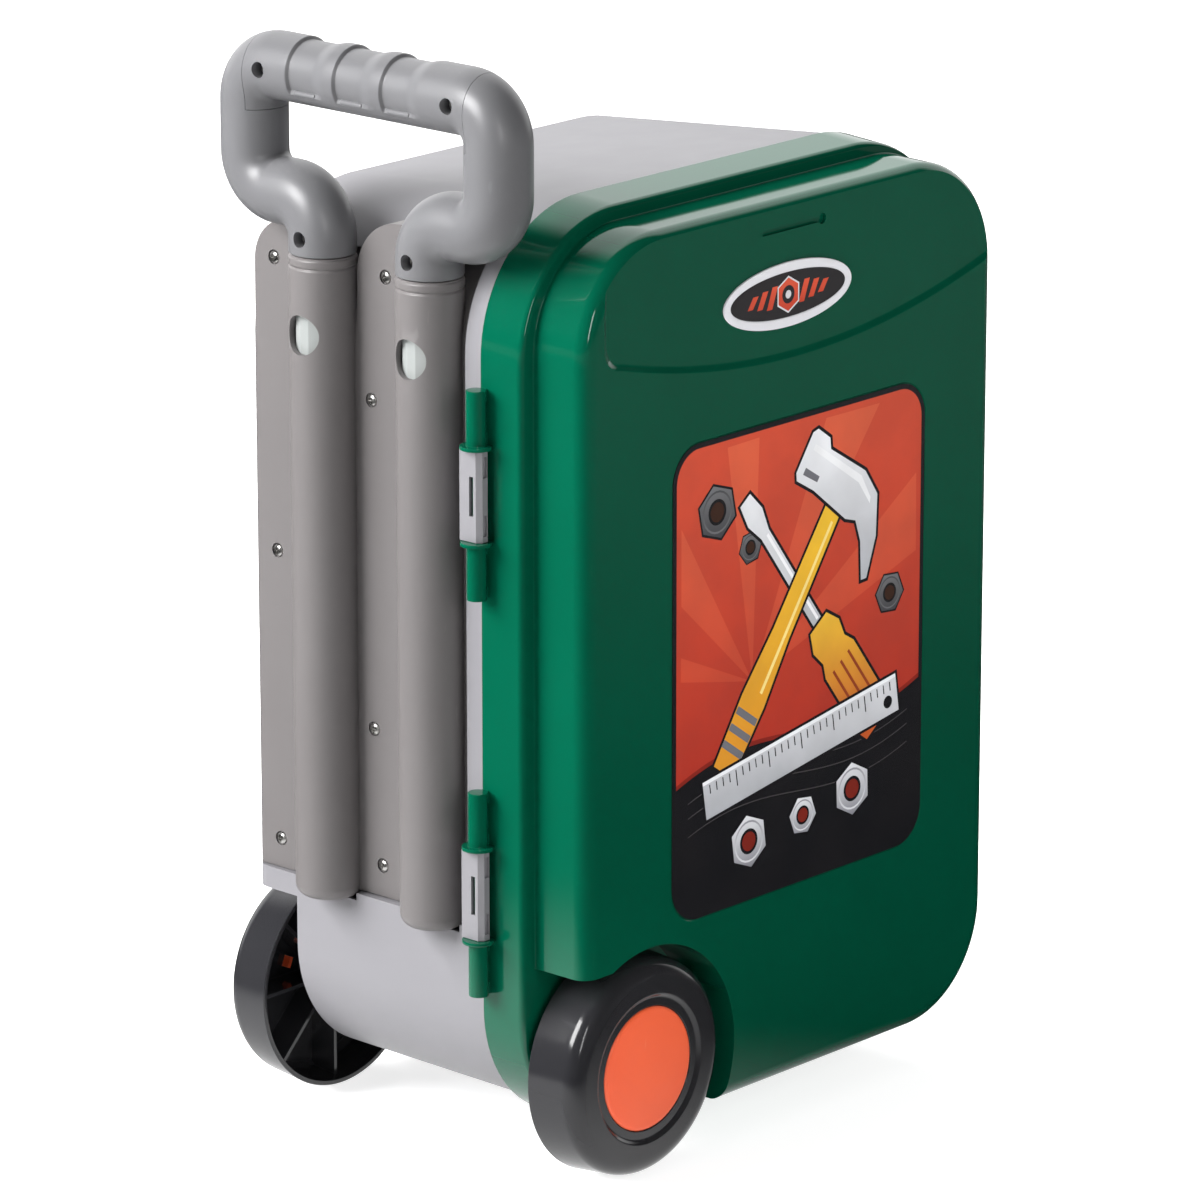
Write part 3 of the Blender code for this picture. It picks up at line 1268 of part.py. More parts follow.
def build_axle(model: Model, end: str, outward: int, inner: float, deep: float, looks: dict, parent) -> None:
    """An axle pin: its head lies under the wheel cap and its shank runs through the hub into the boss."""
    pocket = WHEEL_WIDTH - CAP_POCKET
    head_base = pocket + SLIDE_GAP
    profile = [
        (0.0, head_base + AXLE_HEAD_THICKNESS),
        (AXLE_HEAD_RADIUS, head_base + AXLE_HEAD_THICKNESS),
        (AXLE_HEAD_RADIUS, head_base),
        (AXLE_RADIUS, head_base),
        (AXLE_RADIUS, -deep),
        (0.0, -deep),
    ]
    place = Vector((WHEEL_X, inner, WHEEL_HEIGHT))
    turn = Matrix.Rotation(-outward * math.pi / 2, 4, "X")
    name = f"{end}_axle"
    axle = model.add(name, profile_mesh(name, profile, False), looks["steel"], parent, place, turn)
    turn_profile(axle, PIN_SIDES)


def build_buttons(model: Model, pale: bpy.types.Material) -> None:
    """The two lock buttons: curved discs behind the windows, each with a stem toward its tube."""
    for depth, name in zip(TUBE_AXIS_DEPTHS, ("lock_button_front", "lock_button_rear")):
        outer = COVER_TUBE_RADIUS - COVER_TUBE_WALL - FIT_GAP
        sleeve_base = Vector((TUBE_AXIS_X, depth, WINDOW_HEIGHT - BUTTON_RADIUS - OVERRUN / 2))
        height = 2 * BUTTON_RADIUS + OVERRUN
        origin = Vector((TUBE_AXIS_X - outer, depth, WINDOW_HEIGHT))
        mesh = rods_mesh(name, [(sleeve_base, outer, height)], "Z", TUBE_SIDES)
        button = model.add(name, mesh, pale, model.root, origin)
        inside = outer - BUTTON_THICKNESS
        core_base = sleeve_base - Vector((0.0, 0.0, OVERRUN))
        core = rods_mesh(f"{name}_core", [(core_base, inside, height * 2)], "Z", TUBE_SIDES)
        cut(button, model.add(f"{name}_core", core))
        disc_place = Vector((TUBE_AXIS_X - outer - OVERRUN, depth, WINDOW_HEIGHT))
        disc_length = OVERRUN + outer
        disc = rods_mesh(f"{name}_disc", [(disc_place, BUTTON_RADIUS, disc_length)], "X", TUBE_SIDES)
        combine(button, model.add(f"{name}_disc", disc), "INTERSECT")
        stem_place = Vector((TUBE_AXIS_X - outer + BUTTON_THICKNESS / 2, depth, WINDOW_HEIGHT))
        stem_length = outer - BUTTON_THICKNESS / 2 - BUTTON_STEM_END
        stem = rods_mesh(f"{name}_stem", [(stem_place, BUTTON_STEM_RADIUS, stem_length)], "X", PIN_SIDES)
        join(button, model.add(f"{name}_stem", stem))


def handle_corners(depth: float, sign: int) -> list[Vector]:
    """Centre line of one half of the handle, from a tube's top to the middle of the grip."""
    arm = HANDLE_MIDDLE + sign * HANDLE_ARM_SPACING / 2
    return [
        Vector((TUBE_AXIS_X, depth, HANDLE_BASE)),
        Vector((TUBE_AXIS_X, depth, HANDLE_RUN_HEIGHT)),
        Vector((TUBE_AXIS_X, arm, HANDLE_RUN_HEIGHT)),
        Vector((TUBE_AXIS_X, arm, HANDLE_GRIP_HEIGHT)),
        Vector((TUBE_AXIS_X, HANDLE_MIDDLE, HANDLE_GRIP_HEIGHT)),
    ]


def build_handle(model: Model, looks: dict) -> None:
    """Two S-bent arms, a grooved grip between them and the steel tubes below."""
    slide = Vector((TUBE_AXIS_X, HANDLE_MIDDLE, 0.0))
    half_grip = GRIP_LENGTH / 2
    for depth, sign, word in zip(TUBE_AXIS_DEPTHS, (-1, 1), ("front", "rear")):
        name = f"handle_arm_{word}"
        path = [(point, 1.0) for point in bent_path(handle_corners(depth, sign), HANDLE_BEND)]
        arm_mesh = tube_along(model, name, path, HANDLE_RADIUS)
        arm = model.add(name, arm_mesh, looks["handle"], model.handle, slide)
        near = HANDLE_MIDDLE + sign * (half_grip + FIT_GAP)
        far = HANDLE_MIDDLE - sign * OVERRUN
        low = Vector((TUBE_AXIS_X - OVERRUN * 2, min(near, far), GRIP_UNDERSIDE - FIT_GAP))
        high_z = HANDLE_GRIP_HEIGHT + HANDLE_RADIUS + OVERRUN
        high = Vector((TUBE_AXIS_X + OVERRUN * 2, max(near, far), high_z))
        cut(arm, model.add(f"{name}_end", box_mesh(f"{name}_end", [(low, high)]), None, model.handle))
        socket_place = Vector((TUBE_AXIS_X, depth, HANDLE_BASE - OVERRUN))
        socket_length = OVERRUN + HANDLE_TUBE_SEAT + FIT_GAP
        socket_rod = [(socket_place, HANDLE_TUBE_RADIUS + FIT_GAP, socket_length)]
        socket = rods_mesh(f"{name}_socket", socket_rod, "Z", TUBE_SIDES)
        cut(arm, model.add(f"{name}_socket", socket, None, model.handle))
        tube = build_tube(model, word, depth, looks)
        height = HANDLE_BASE + SOCKET_SCREW_RISE
        cut(tube, build_handle_screw(model, arm, f"socket_screw_{word}", depth, height, looks))
    build_grip(model, looks, slide)


def build_handle_screw(model: Model, holder, name: str, depth: float, height: float, looks: dict):
    """A screw at the bottom of a round seat in the handle's outer side; gives back its shank's hole."""
    face = TUBE_AXIS_X - HANDLE_RADIUS
    seat_place = Vector((face - OVERRUN, depth, height))
    seat_rod = [(seat_place, HANDLE_SCREW_SEAT_RADIUS, OVERRUN + HANDLE_SCREW_SEAT_DEPTH)]
    seat = rods_mesh(f"{name}_seat", seat_rod, "X", PIN_SIDES)
    cut(holder, model.add(f"{name}_seat", seat, None, model.handle))
    floor = face + HANDLE_SCREW_SEAT_DEPTH
    hole_place = Vector((floor - FIT_GAP, depth, height))
    hole_rod = [(hole_place, SCREW_SHANK_RADIUS + FIT_GAP, SCREW_SHANK_LENGTH + FIT_GAP * 2)]
    hole = model.add(f"{name}_hole", rods_mesh(f"{name}_hole", hole_rod, "X", SCREW_SIDES), None, model.handle)
    cut(holder, hole)
    build_screw(model, name, Vector((floor - FIT_GAP, depth, height)), looks["steel"], model.handle)
    return hole


def build_tube(model: Model, word: str, depth: float, looks: dict) -> bpy.types.Object:
    """A steel tube in the handle's socket, with a plastic guide round its foot."""
    name = f"handle_tube_{word}"
    outer = HANDLE_TUBE_RADIUS
    inner = outer - HANDLE_TUBE_WALL
    top = HANDLE_BASE + HANDLE_TUBE_SEAT
    profile = [(outer, top), (outer, HANDLE_TUBE_BASE), (inner, HANDLE_TUBE_BASE), (inner, top)]
    place = Vector((TUBE_AXIS_X, depth, 0.0))
    tube = model.add(name, profile_mesh(name, profile, True), looks["steel"], model.handle)
    tube.location = place - parent_place(model.handle)
    turn_profile(tube, TUBE_SIDES)

    guide_name = f"tube_guide_{word}"
    channel = COVER_TUBE_RADIUS - COVER_TUBE_WALL
    reach = channel - TUBE_GUIDE_PLAY
    bore = outer + FIT_GAP
    low = HANDLE_TUBE_BASE - FIT_GAP
    high = low + TUBE_GUIDE_HEIGHT
    guide_profile = [(reach, high), (reach, low), (bore, low), (bore, high)]
    guide = model.add(guide_name, profile_mesh(guide_name, guide_profile, True), looks["black"], model.handle)
    guide.location = place - parent_place(model.handle)
    turn_profile(guide, TUBE_SIDES)
    core_rings = []
    for level in (PLATE_FRONT - OVERRUN / 2, PLATE_BACK + OVERRUN / 2):
        section = case_section(level).inset(plate_sink(level) + PLATE_THICKNESS - TUBE_GUIDE_PLAY)
        core_rings.append(section.ring(level, PLATE_CORE_STEPS))
    core_name = f"{guide_name}_floor"
    cut(guide, model.add(core_name, loft_mesh(core_name, core_rings)))
    return tube


def build_grip(model: Model, looks: dict, slide: Vector) -> None:
    """The grip: the handle's top stretch with three finger grooves and small raised bars below them."""
    half_grip = GRIP_LENGTH / 2
    front = bent_path(handle_corners(TUBE_AXIS_DEPTHS[0], -1)[2:], HANDLE_BEND)[:-1]
    rear = bent_path(handle_corners(TUBE_AXIS_DEPTHS[1], 1)[2:], HANDLE_BEND)[:-1]
    path = [(point, 1.0) for point in front]
    path += groove_path()
    path += [(point, 1.0) for point in reversed(rear)]
    grip_mesh = tube_along(model, "handle_grip", path, HANDLE_RADIUS)
    grip = model.add("handle_grip", grip_mesh, looks["handle"], model.handle, slide)
    ends = []
    for sign in (-1, 1):
        near = HANDLE_MIDDLE + sign * half_grip
        far = HANDLE_MIDDLE + sign * (HANDLE_ARM_SPACING / 2 + HANDLE_RADIUS + OVERRUN)
        low = Vector((TUBE_AXIS_X - OVERRUN * 2, min(near, far), HANDLE_RUN_HEIGHT - OVERRUN))
        high_z = HANDLE_GRIP_HEIGHT + HANDLE_RADIUS + OVERRUN
        high = Vector((TUBE_AXIS_X + OVERRUN * 2, max(near, far), high_z))
        ends.append((low, high))
    low_z = HANDLE_RUN_HEIGHT - OVERRUN
    below_low = Vector((TUBE_AXIS_X - OVERRUN * 2, HANDLE_MIDDLE - HANDLE_ARM_SPACING, low_z))
    below_high = Vector((TUBE_AXIS_X + OVERRUN * 2, HANDLE_MIDDLE + HANDLE_ARM_SPACING, GRIP_UNDERSIDE))
    cut(grip, model.add("grip_ends", box_mesh("grip_ends", ends), None, model.handle))
    cut(grip, model.add("grip_below", box_mesh("grip_below", [(below_low, below_high)]), None, model.handle))

    bars = []
    for index in range(GRIP_GROOVE_COUNT):
        groove_rear = groove_start(index)
        high_y = groove_rear - GRIP_GROOVE_EDGE * 2
        low_y = high_y - GRIP_BAR_LENGTH
        height = HANDLE_GRIP_HEIGHT - GRIP_BAR_DROP
        reach = math.sqrt(HANDLE_RADIUS**2 - GRIP_BAR_DROP**2)
        low = Vector((TUBE_AXIS_X - reach, low_y, height - GRIP_BAR_HEIGHT / 2))
        high = Vector((TUBE_AXIS_X - reach + GRIP_BAR_THICKNESS, high_y, height + GRIP_BAR_HEIGHT / 2))
        bars.append((low, high))
    join(grip, model.add("grip_bars", box_mesh("grip_bars", bars), None, model.handle))
    for sign, word in ((-1, "front"), (1, "rear")):
        depth = HANDLE_MIDDLE + sign * GRIP_SCREW_SPACING / 2
        build_handle_screw(model, grip, f"grip_screw_{word}", depth, HANDLE_GRIP_HEIGHT, looks)


def groove_start(index: int) -> float:
    """Depth of the rear end of one finger groove."""
    middle = (GRIP_GROOVE_COUNT - 1) / 2
    return HANDLE_MIDDLE + (index - middle) * GRIP_GROOVE_PITCH + GRIP_GROOVE_LENGTH / 2


def groove_path() -> list[tuple[Vector, float]]:
    """Points along the grip from front to rear, with the radius share of each."""
    low_share = 1.0 - GRIP_GROOVE_DEPTH / HANDLE_RADIUS
    points = []
    for index in range(GRIP_GROOVE_COUNT):
        rear = groove_start(index)
        front = rear - GRIP_GROOVE_LENGTH
        stations = (
            (front, 1.0),
            (front + GRIP_GROOVE_EDGE, (1.0 + low_share) / 2),
            (front + GRIP_GROOVE_LENGTH / 3, low_share),
            (rear - GRIP_GROOVE_EDGE, low_share),
            (rear, 1.0),
        )
        for depth, share in stations:
            points.append((Vector((TUBE_AXIS_X, depth, HANDLE_GRIP_HEIGHT)), share))
    return points


def shade(model: Model) -> None:
    """Shade every piece smooth, with its real edges sharp."""
    for item in model.parts.objects:
        if item.type != "MESH":
            continue
        item.data.shade_smooth()
        item.data.set_sharp_from_angle(angle=math.radians(35.0))


def main() -> None:
    """Build the whole tool box."""
    model = Model()
    looks = {
        "green": material("door_green", (0.0, 0.10, 0.055), 0.18),
        "gray": material("case_gray", (0.38, 0.37, 0.40), 0.40),
        "handle": material("handle_gray", (0.22, 0.22, 0.23), 0.40),
        "plate": material("housing_gray", (0.30, 0.28, 0.28), 0.40),
        "black": material("wheel_black", (0.02, 0.02, 0.025), 0.30),
        "orange": material("cap_orange", (0.86, 0.12, 0.035), 0.35),
        "steel": material("steel", (0.55, 0.55, 0.55), 0.30, 1.0),
        "pale": material("button_pale", (0.62, 0.66, 0.64), 0.40),
        "paper": material("label_print", (0.55, 0.07, 0.03), 0.25),
        "white": material("badge_white", (0.75, 0.75, 0.75), 0.30),
    }
    shell = build_case_shell(model, looks["gray"])
    finish_case_shell(model, shell)
    build_housing(model, looks["plate"])
    build_housing_screws(model, looks["steel"])
    build_clips(model, looks["gray"])
    build_feet(model, looks["gray"])
    build_buttons(model, looks["pale"])

    door = build_door_shell(model, looks["green"])
    finish_door_shell(model, door)
    build_label(model, looks["paper"])
    build_badge(model, looks["white"])

    front_place = Vector((WHEEL_X, FRONT_WHEEL_INNER, WHEEL_HEIGHT))
    front_spin = model.empty("front_wheel_axis", front_place, model.door)
    rear_spin = model.empty("rear_wheel_axis", Vector((WHEEL_X, REAR_WHEEL_INNER, WHEEL_HEIGHT)), model.root)
    build_wheel(model, "front", front_spin, -1, FRONT_WHEEL_INNER, looks)
    build_wheel(model, "rear", rear_spin, 1, REAR_WHEEL_INNER, looks)
    front_deep = DOOR_STEP + WELL_BACK_WALL + AXLE_END_REACH - FRONT_WHEEL_INNER
    rear_deep = REAR_WHEEL_INNER - REAR_WELL_FRONT + CASE_WALL + AXLE_END_REACH
    build_axle(model, "front", -1, FRONT_WHEEL_INNER, front_deep, looks, model.door)
    build_axle(model, "rear", 1, REAR_WHEEL_INNER, rear_deep, looks, model.root)

    build_handle(model, looks)
    shade(model)


if __name__ == "__main__":
    main()
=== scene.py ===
"""Looks of the toy tool box: finer pieces, finishes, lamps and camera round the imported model.

Sizes are in metres. The drawing frame has X from the case's middle, Y back from the plane where the door
meets the case, and Z up from the floor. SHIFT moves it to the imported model's frame.
"""

import json
import logging
import math
from dataclasses import dataclass, field, replace
from enum import Enum
from functools import cache

import bmesh
import bpy
from mathutils import Matrix, Vector
from mathutils.geometry import delaunay_2d_cdt

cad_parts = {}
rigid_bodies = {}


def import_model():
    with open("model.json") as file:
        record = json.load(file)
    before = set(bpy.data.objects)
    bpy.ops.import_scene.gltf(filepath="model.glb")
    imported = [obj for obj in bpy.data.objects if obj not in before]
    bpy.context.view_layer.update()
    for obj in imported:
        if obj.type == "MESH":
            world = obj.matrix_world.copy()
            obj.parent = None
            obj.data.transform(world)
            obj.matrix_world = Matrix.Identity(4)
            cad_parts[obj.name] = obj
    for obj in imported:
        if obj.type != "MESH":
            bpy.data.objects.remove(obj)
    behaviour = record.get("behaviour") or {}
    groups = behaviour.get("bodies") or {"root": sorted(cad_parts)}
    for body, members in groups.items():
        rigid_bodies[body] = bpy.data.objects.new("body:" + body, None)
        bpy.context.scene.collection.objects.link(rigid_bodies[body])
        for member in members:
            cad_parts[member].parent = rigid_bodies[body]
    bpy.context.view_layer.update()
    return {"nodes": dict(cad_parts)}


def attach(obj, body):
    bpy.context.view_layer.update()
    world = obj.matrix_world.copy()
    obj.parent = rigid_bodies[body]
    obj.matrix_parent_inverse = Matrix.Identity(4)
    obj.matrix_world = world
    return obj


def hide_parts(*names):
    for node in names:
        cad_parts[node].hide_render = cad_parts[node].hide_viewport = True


LOG = logging.getLogger("toy_tool_box")
SHIFT = Vector((0.0003, -0.062075, 0.0))
TINY = 1e-6
FIT_GAP = 0.0003
OVERRUN = 0.02
CORNER_STEPS = 20
ROUND_STEPS = 10

Pair = tuple[float, float]
Colour = tuple[float, float, float]
Socket = bpy.types.NodeSocket

BOSS_RADIUS = 0.011
BORE_RADIUS = 0.0043
HINGE_HEIGHTS: Pair = (0.368, 0.1575)
CLIP_SPAN = 0.050
TUBE_X = -0.163
TUBE_DEPTHS: Pair = (0.0366, 0.1112)
WHEEL_X = -0.1074
LABEL_CORNER = 0.020
WHITE: Colour = (1.0, 1.0, 1.0)


# Geometry


def arc(centre: Pair, radius: float, start: float, sweep: float, steps: int) -> list[Pair]:
    """Points round a centre from a start angle through a sweep in radians, both ends included."""
    points = []
    for step in range(steps + 1):
        angle = start + sweep * step / steps
        points.append((centre[0] + radius * math.cos(angle), centre[1] + radius * math.sin(angle)))
    return points


def eased(share: float) -> float:
    """An S-shaped step from 0 to 1."""
    return share * share * (3 - 2 * share)


class Axis(Enum):
    """The way that a turned form stands."""

    X = "X"
    Y = "Y"
    Z = "Z"

    def turn(self) -> Matrix:
        """The rotation from a form that stands along Z."""
        if self is Axis.X:
            return Matrix.Rotation(math.pi / 2, 4, "Y")
        if self is Axis.Y:
            return Matrix.Rotation(-math.pi / 2, 4, "X")
        return Matrix.Identity(4)


@dataclass(frozen=True)
class Section:
    """A rounded rectangle across the case, seen from the front."""

    left: float
    right: float
    bottom: float
    top: float
    corner: float

    def inset(self, amount: float) -> "Section":
        """Move all four sides in by one amount."""
        return Section(
            self.left + amount,
            self.right - amount,
            self.bottom + amount,
            self.top - amount,
            max(self.corner - amount, TINY),
        )

    def blend(self, other: "Section", share: float) -> "Section":
        """Mix two sections.

        Args:
            other: the section that share 1 gives.
            share: how much of the other one to take.

        Returns:
            The mixed section.
        """
        keep = 1.0 - share
        return Section(
            keep * self.left + share * other.left,
            keep * self.right + share * other.right,
            keep * self.bottom + share * other.bottom,
            keep * self.top + share * other.top,
            keep * self.corner + share * other.corner,
        )

    def outline(self, steps: int = CORNER_STEPS) -> list[Pair]:
        """Points of the outline as X and Z, counter-clockwise from the front."""
        quarter = math.pi / 2
        corner = self.corner
        centres = (
            (self.right - corner, self.bottom + corner, -quarter),
            (self.right - corner, self.top - corner, 0.0),
            (self.left + corner, self.top - corner, quarter),
            (self.left + corner, self.bottom + corner, 2 * quarter),
        )
        return [point for x, z, start in centres for point in arc((x, z), corner, start, quarter, steps)]

    def left_edge(self, height: float) -> float:
        """X of the left side at a height, round the top corner too."""
        rise = height - (self.top - self.corner)
        if rise <= 0.0:
            return self.left
        return self.left + self.corner - math.sqrt(self.corner**2 - rise**2)

    def ring(self, depth: float, steps: int = CORNER_STEPS) -> list[Vector]:
        """The outline at one depth."""
        return [Vector((x, depth, z)) for x, z in self.outline(steps)]


def quarter_round(radius: float, steps: int = ROUND_STEPS) -> list[Pair]:
    """Inset and advance along a rounded edge, from the full inset to none."""
    pairs = []
    for step in range(steps + 1):
        angle = math.pi / 2 * step / steps
        pairs.append((radius * (1.0 - math.sin(angle)), radius * (1.0 - math.cos(angle))))
    return pairs


def softened(profile: list[Pair], radius: float, steps: int = 3) -> list[Pair]:
    """Round the corners of an open line.

    Args:
        profile: the line's points.
        radius: how far from each corner its rounding starts.
        steps: the pieces in each rounding.

    Returns:
        The line with more points.
    """
    count = len(profile)
    result = []
    for index, here in enumerate(profile):
        if index in (0, count - 1):
            result.append(here)
            continue
        before = profile[index - 1]
        after = profile[index + 1]
        ends = []
        for other in (before, after):
            length = math.dist(here, other)
            share = min(radius, length * 0.45) / length
            ends.append((here[0] + (other[0] - here[0]) * share, here[1] + (other[1] - here[1]) * share))
        for step in range(steps + 1):
            t = step / steps
            weights = ((1 - t) ** 2, 2 * t * (1 - t), t * t)
            spots = (ends[0], here, ends[1])
            result.append(tuple(sum(w * spot[axis] for w, spot in zip(weights, spots)) for axis in (0, 1)))
    return result


class Piece:
    """One mesh object while it is being shaped, in the drawing frame."""

    def __init__(self, name: str, bm: bmesh.types.BMesh) -> None:
        """Make the object from a closed bmesh."""
        bmesh.ops.recalc_face_normals(bm, faces=bm.faces)
        mesh = bpy.data.meshes.new(name)
        bm.to_mesh(mesh)
        bm.free()
        self.item = bpy.data.objects.new(name, mesh)
        bpy.context.scene.collection.objects.link(self.item)
        self.tools: list[Piece] = []

    def _combine(self, others: tuple["Piece", ...], operation: str) -> "Piece":
        """Queue Booleans with other pieces."""
        for other in others:
            boolean = self.item.modifiers.new(other.item.name, "BOOLEAN")
            boolean.operation = operation
            boolean.object = other.item
            boolean.solver = "EXACT"
            self.tools.append(other)
        return self

    def cut(self, *others: "Piece") -> "Piece":
        """Take other pieces away from this one."""
        return self._combine(others, "DIFFERENCE")

    def join(self, *others: "Piece") -> "Piece":
        """Fuse other pieces with this one."""
        return self._combine(others, "UNION")

    def keep_inside(self, *others: "Piece") -> "Piece":
        """Keep what lies in the other pieces too."""
        return self._combine(others, "INTERSECT")

    def bevel(self, width: float, angle: float = 40.0, segments: int = 2) -> "Piece":
        """Round the edges that are sharper than an angle in degrees."""
        bevel = self.item.modifiers.new("edges", "BEVEL")
        bevel.width = width
        bevel.segments = segments
        bevel.limit_method = "ANGLE"
        bevel.angle_limit = math.radians(angle)
        bevel.use_clamp_overlap = True
        bevel.miter_outer = "MITER_ARC"
        return self

    def bake(self) -> "Piece":
        """Turn the queued modifiers into plain mesh and drop the tools."""
        bpy.context.view_layer.update()
        depsgraph = bpy.context.evaluated_depsgraph_get()
        mesh = bpy.data.meshes.new_from_object(self.item.evaluated_get(depsgraph))
        self.item.modifiers.clear()
        self.item.data = mesh
        mesh.name = self.item.name
        for tool in self.tools:
            if tool.item.name in bpy.data.objects:
                bpy.data.objects.remove(tool.item, do_unlink=True)
        self.tools = []
        return self

    def dress(
        self,
        body: str,
        slot: str,
        finish: bpy.types.Material,
        replaces: tuple[str, ...] = (),
        sharp: float = 32.0,
    ) -> bpy.types.Object:
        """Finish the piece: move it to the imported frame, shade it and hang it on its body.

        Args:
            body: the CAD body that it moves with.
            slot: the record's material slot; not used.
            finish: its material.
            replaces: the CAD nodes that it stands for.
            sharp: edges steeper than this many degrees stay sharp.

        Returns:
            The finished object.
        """
        self.bake()
        mesh = self.item.data
        mesh.transform(Matrix.Translation(SHIFT))
        mesh.materials.clear()
        mesh.materials.append(finish)
        mesh.shade_smooth()
        mesh.set_sharp_from_angle(angle=math.radians(sharp))
        normals = self.item.modifiers.new("normals", "WEIGHTED_NORMAL")
        normals.keep_sharp = True
        normals.weight = 60
        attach(self.item, body)
        if replaces:
            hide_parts(*replaces)
        LOG.info("%s: %d faces", self.item.name, len(mesh.polygons))
        return self.item


def loft(name: str, rings: list[list[Vector]]) -> Piece:
    """Join rings of equal count into one closed form with flat ends."""
    bm = bmesh.new()
    loops = [[bm.verts.new(point) for point in ring] for ring in rings]
    count = len(rings[0])
    for near, far in zip(loops, loops[1:]):
        for index in range(count):
            after = (index + 1) % count
            bm.faces.new((near[index], near[after], far[after], far[index]))
    bm.faces.new(loops[0])
    bm.faces.new(list(reversed(loops[-1])))
    return Piece(name, bm)


def prism(name: str, outline: list[Pair], front: float, back: float) -> Piece:
    """Extrude an outline in XZ along Y."""
    return loft(name, [[Vector((x, depth, z)) for x, z in outline] for depth in (front, back)])


def boxes(name: str, corners: list[tuple[Vector, Vector]]) -> Piece:
    """Separate boxes, each given by two corners."""
    bm = bmesh.new()
    for low, high in corners:
        size = high - low
        spread = Matrix.Diagonal((size.x, size.y, size.z, 1.0))
        bmesh.ops.create_cube(bm, size=1.0, matrix=Matrix.Translation((low + high) / 2) @ spread)
    return Piece(name, bm)


def lathe(
    name: str, profile: list[Pair], place: Vector, turn: Matrix, sides: int, closed: bool = False
) -> Piece:
    """Turn a profile round an axis.

    Args:
        name: the piece's name.
        profile: points as radius and height.
        place: where height zero lies on the axis.
        turn: the rotation of the axis from Z.
        sides: how many faces go round.
        closed: whether the profile returns to its start.

    Returns:
        The turned piece.
    """
    bm = bmesh.new()
    rings = []
    for radius, height in profile:
        if radius < TINY:
            rings.append([bm.verts.new((0.0, 0.0, height))])
            continue
        ring = []
        for side in range(sides):
            angle = 2 * math.pi * (side + 0.5) / sides
            ring.append(bm.verts.new((radius * math.cos(angle), radius * math.sin(angle), height)))
        rings.append(ring)
    pairs = list(zip(rings, rings[1:]))
    if closed:
        pairs.append((rings[-1], rings[0]))
    for one, two in pairs:
        for side in range(sides):
            after = (side + 1) % sides
            near = [one[side % len(one)], one[after % len(one)]]
            corners = list(dict.fromkeys([*near, two[after % len(two)], two[side % len(two)]]))
            if len(corners) > 2:
                bm.faces.new(corners)
    bm.transform(Matrix.Translation(place) @ turn)
    return Piece(name, bm)


def rods(name: str, places: list[tuple[Vector, float, float]], axis: Axis, sides: int) -> Piece:
    """Separate plain rods, each given by its start, radius and length."""
    bm = bmesh.new()
    half_side = Matrix.Rotation(math.pi / sides, 4, "Z")
    for start, radius, length in places:
        middle = Matrix.Translation(start + axis.turn() @ Vector((0.0, 0.0, length / 2)))
        bmesh.ops.create_cone(
            bm,
            cap_ends=True,
            segments=sides,
            radius1=radius,
            radius2=radius,
            depth=length,
            matrix=middle @ axis.turn() @ half_side,
        )
    return Piece(name, bm)


@dataclass(frozen=True)
class WheelWell:
    """The room round a wheel, seen from the front: a flat roof outside and an arch inside."""

    roof: float
    x: float = WHEEL_X
    z: float = 0.060
    radius: float = 0.066
    far: float = -0.186

    def outline(self, growth: float = 0.0, steps: int = 56) -> list[Pair]:
        """The well's edge, grown by one amount."""
        radius = self.radius + growth
        start = math.pi - math.asin((self.roof + growth - self.z) / radius)
        points = [(self.far, self.z - radius), (self.far, self.roof + growth)]
        return points + arc((self.x, self.z), radius, start, -(start + math.pi / 2), steps)


# Finishes


class NodeBoard:
    """Short ways to place and wire shader nodes."""

    def __init__(self, tree: bpy.types.NodeTree) -> None:
        """Work on one tree."""
        self.tree = tree

    def add(self, kind: str, values: dict | None = None, **settings: object) -> bpy.types.Node:
        """Place a node.

        Args:
            kind: its type, without ShaderNode.
            values: input sockets by name or number, as numbers or as sockets to wire in.
            **settings: the node's own properties.

        Returns:
            The node.
        """
        node = self.tree.nodes.new(f"ShaderNode{kind}")
        for key, value in settings.items():
            setattr(node, key, value)
        self.fill(node, values or {})
        return node

    def fill(self, node: bpy.types.Node, values: dict) -> None:
        """Wire or set a node's inputs, each by name or number."""
        for key, value in values.items():
            if isinstance(value, Socket):
                self.tree.links.new(value, node.inputs[key])
            elif isinstance(value, tuple) and node.inputs[key].type == "RGBA":
                node.inputs[key].default_value = (*value, 1.0)
            else:
                node.inputs[key].default_value = value

    def math(self, operation: str, *values: Socket | float, clamp: bool = False) -> Socket:
        """A Math node's result."""
        return self.add("Math", dict(enumerate(values)), operation=operation, use_clamp=clamp).outputs[0]

    def ramp(self, value: Socket, low: float, high: float, to_low: float, to_high: float) -> Socket:
        """Map a value smoothly from one range to another."""
        values = {0: value, 1: low, 2: high, 3: to_low, 4: to_high}
        return self.add("MapRange", values, interpolation_type="SMOOTHSTEP").outputs[0]

    def product(self, *values: Socket | float) -> Socket:
        """Multiply values, the first two first."""
        result = values[0]
        for value in values[1:]:
            result = self.math("MULTIPLY", result, value)
        return result

    def mix(self, share: Socket, one: Socket | Colour, two: Socket | Colour) -> Socket:
        """Mix two colours."""
        return self.add("Mix", {0: share, 6: one, 7: two}, data_type="RGBA").outputs[2]

    def noise(
        self, place: Socket, scale: Socket | float, detail: float = 3.0, rough: float = 0.5
    ) -> Socket:
        """A noise texture's value."""
        values = {"Vector": place, "Scale": scale, "Detail": detail, "Roughness": rough}
        return self.add("TexNoise", values).outputs[0]


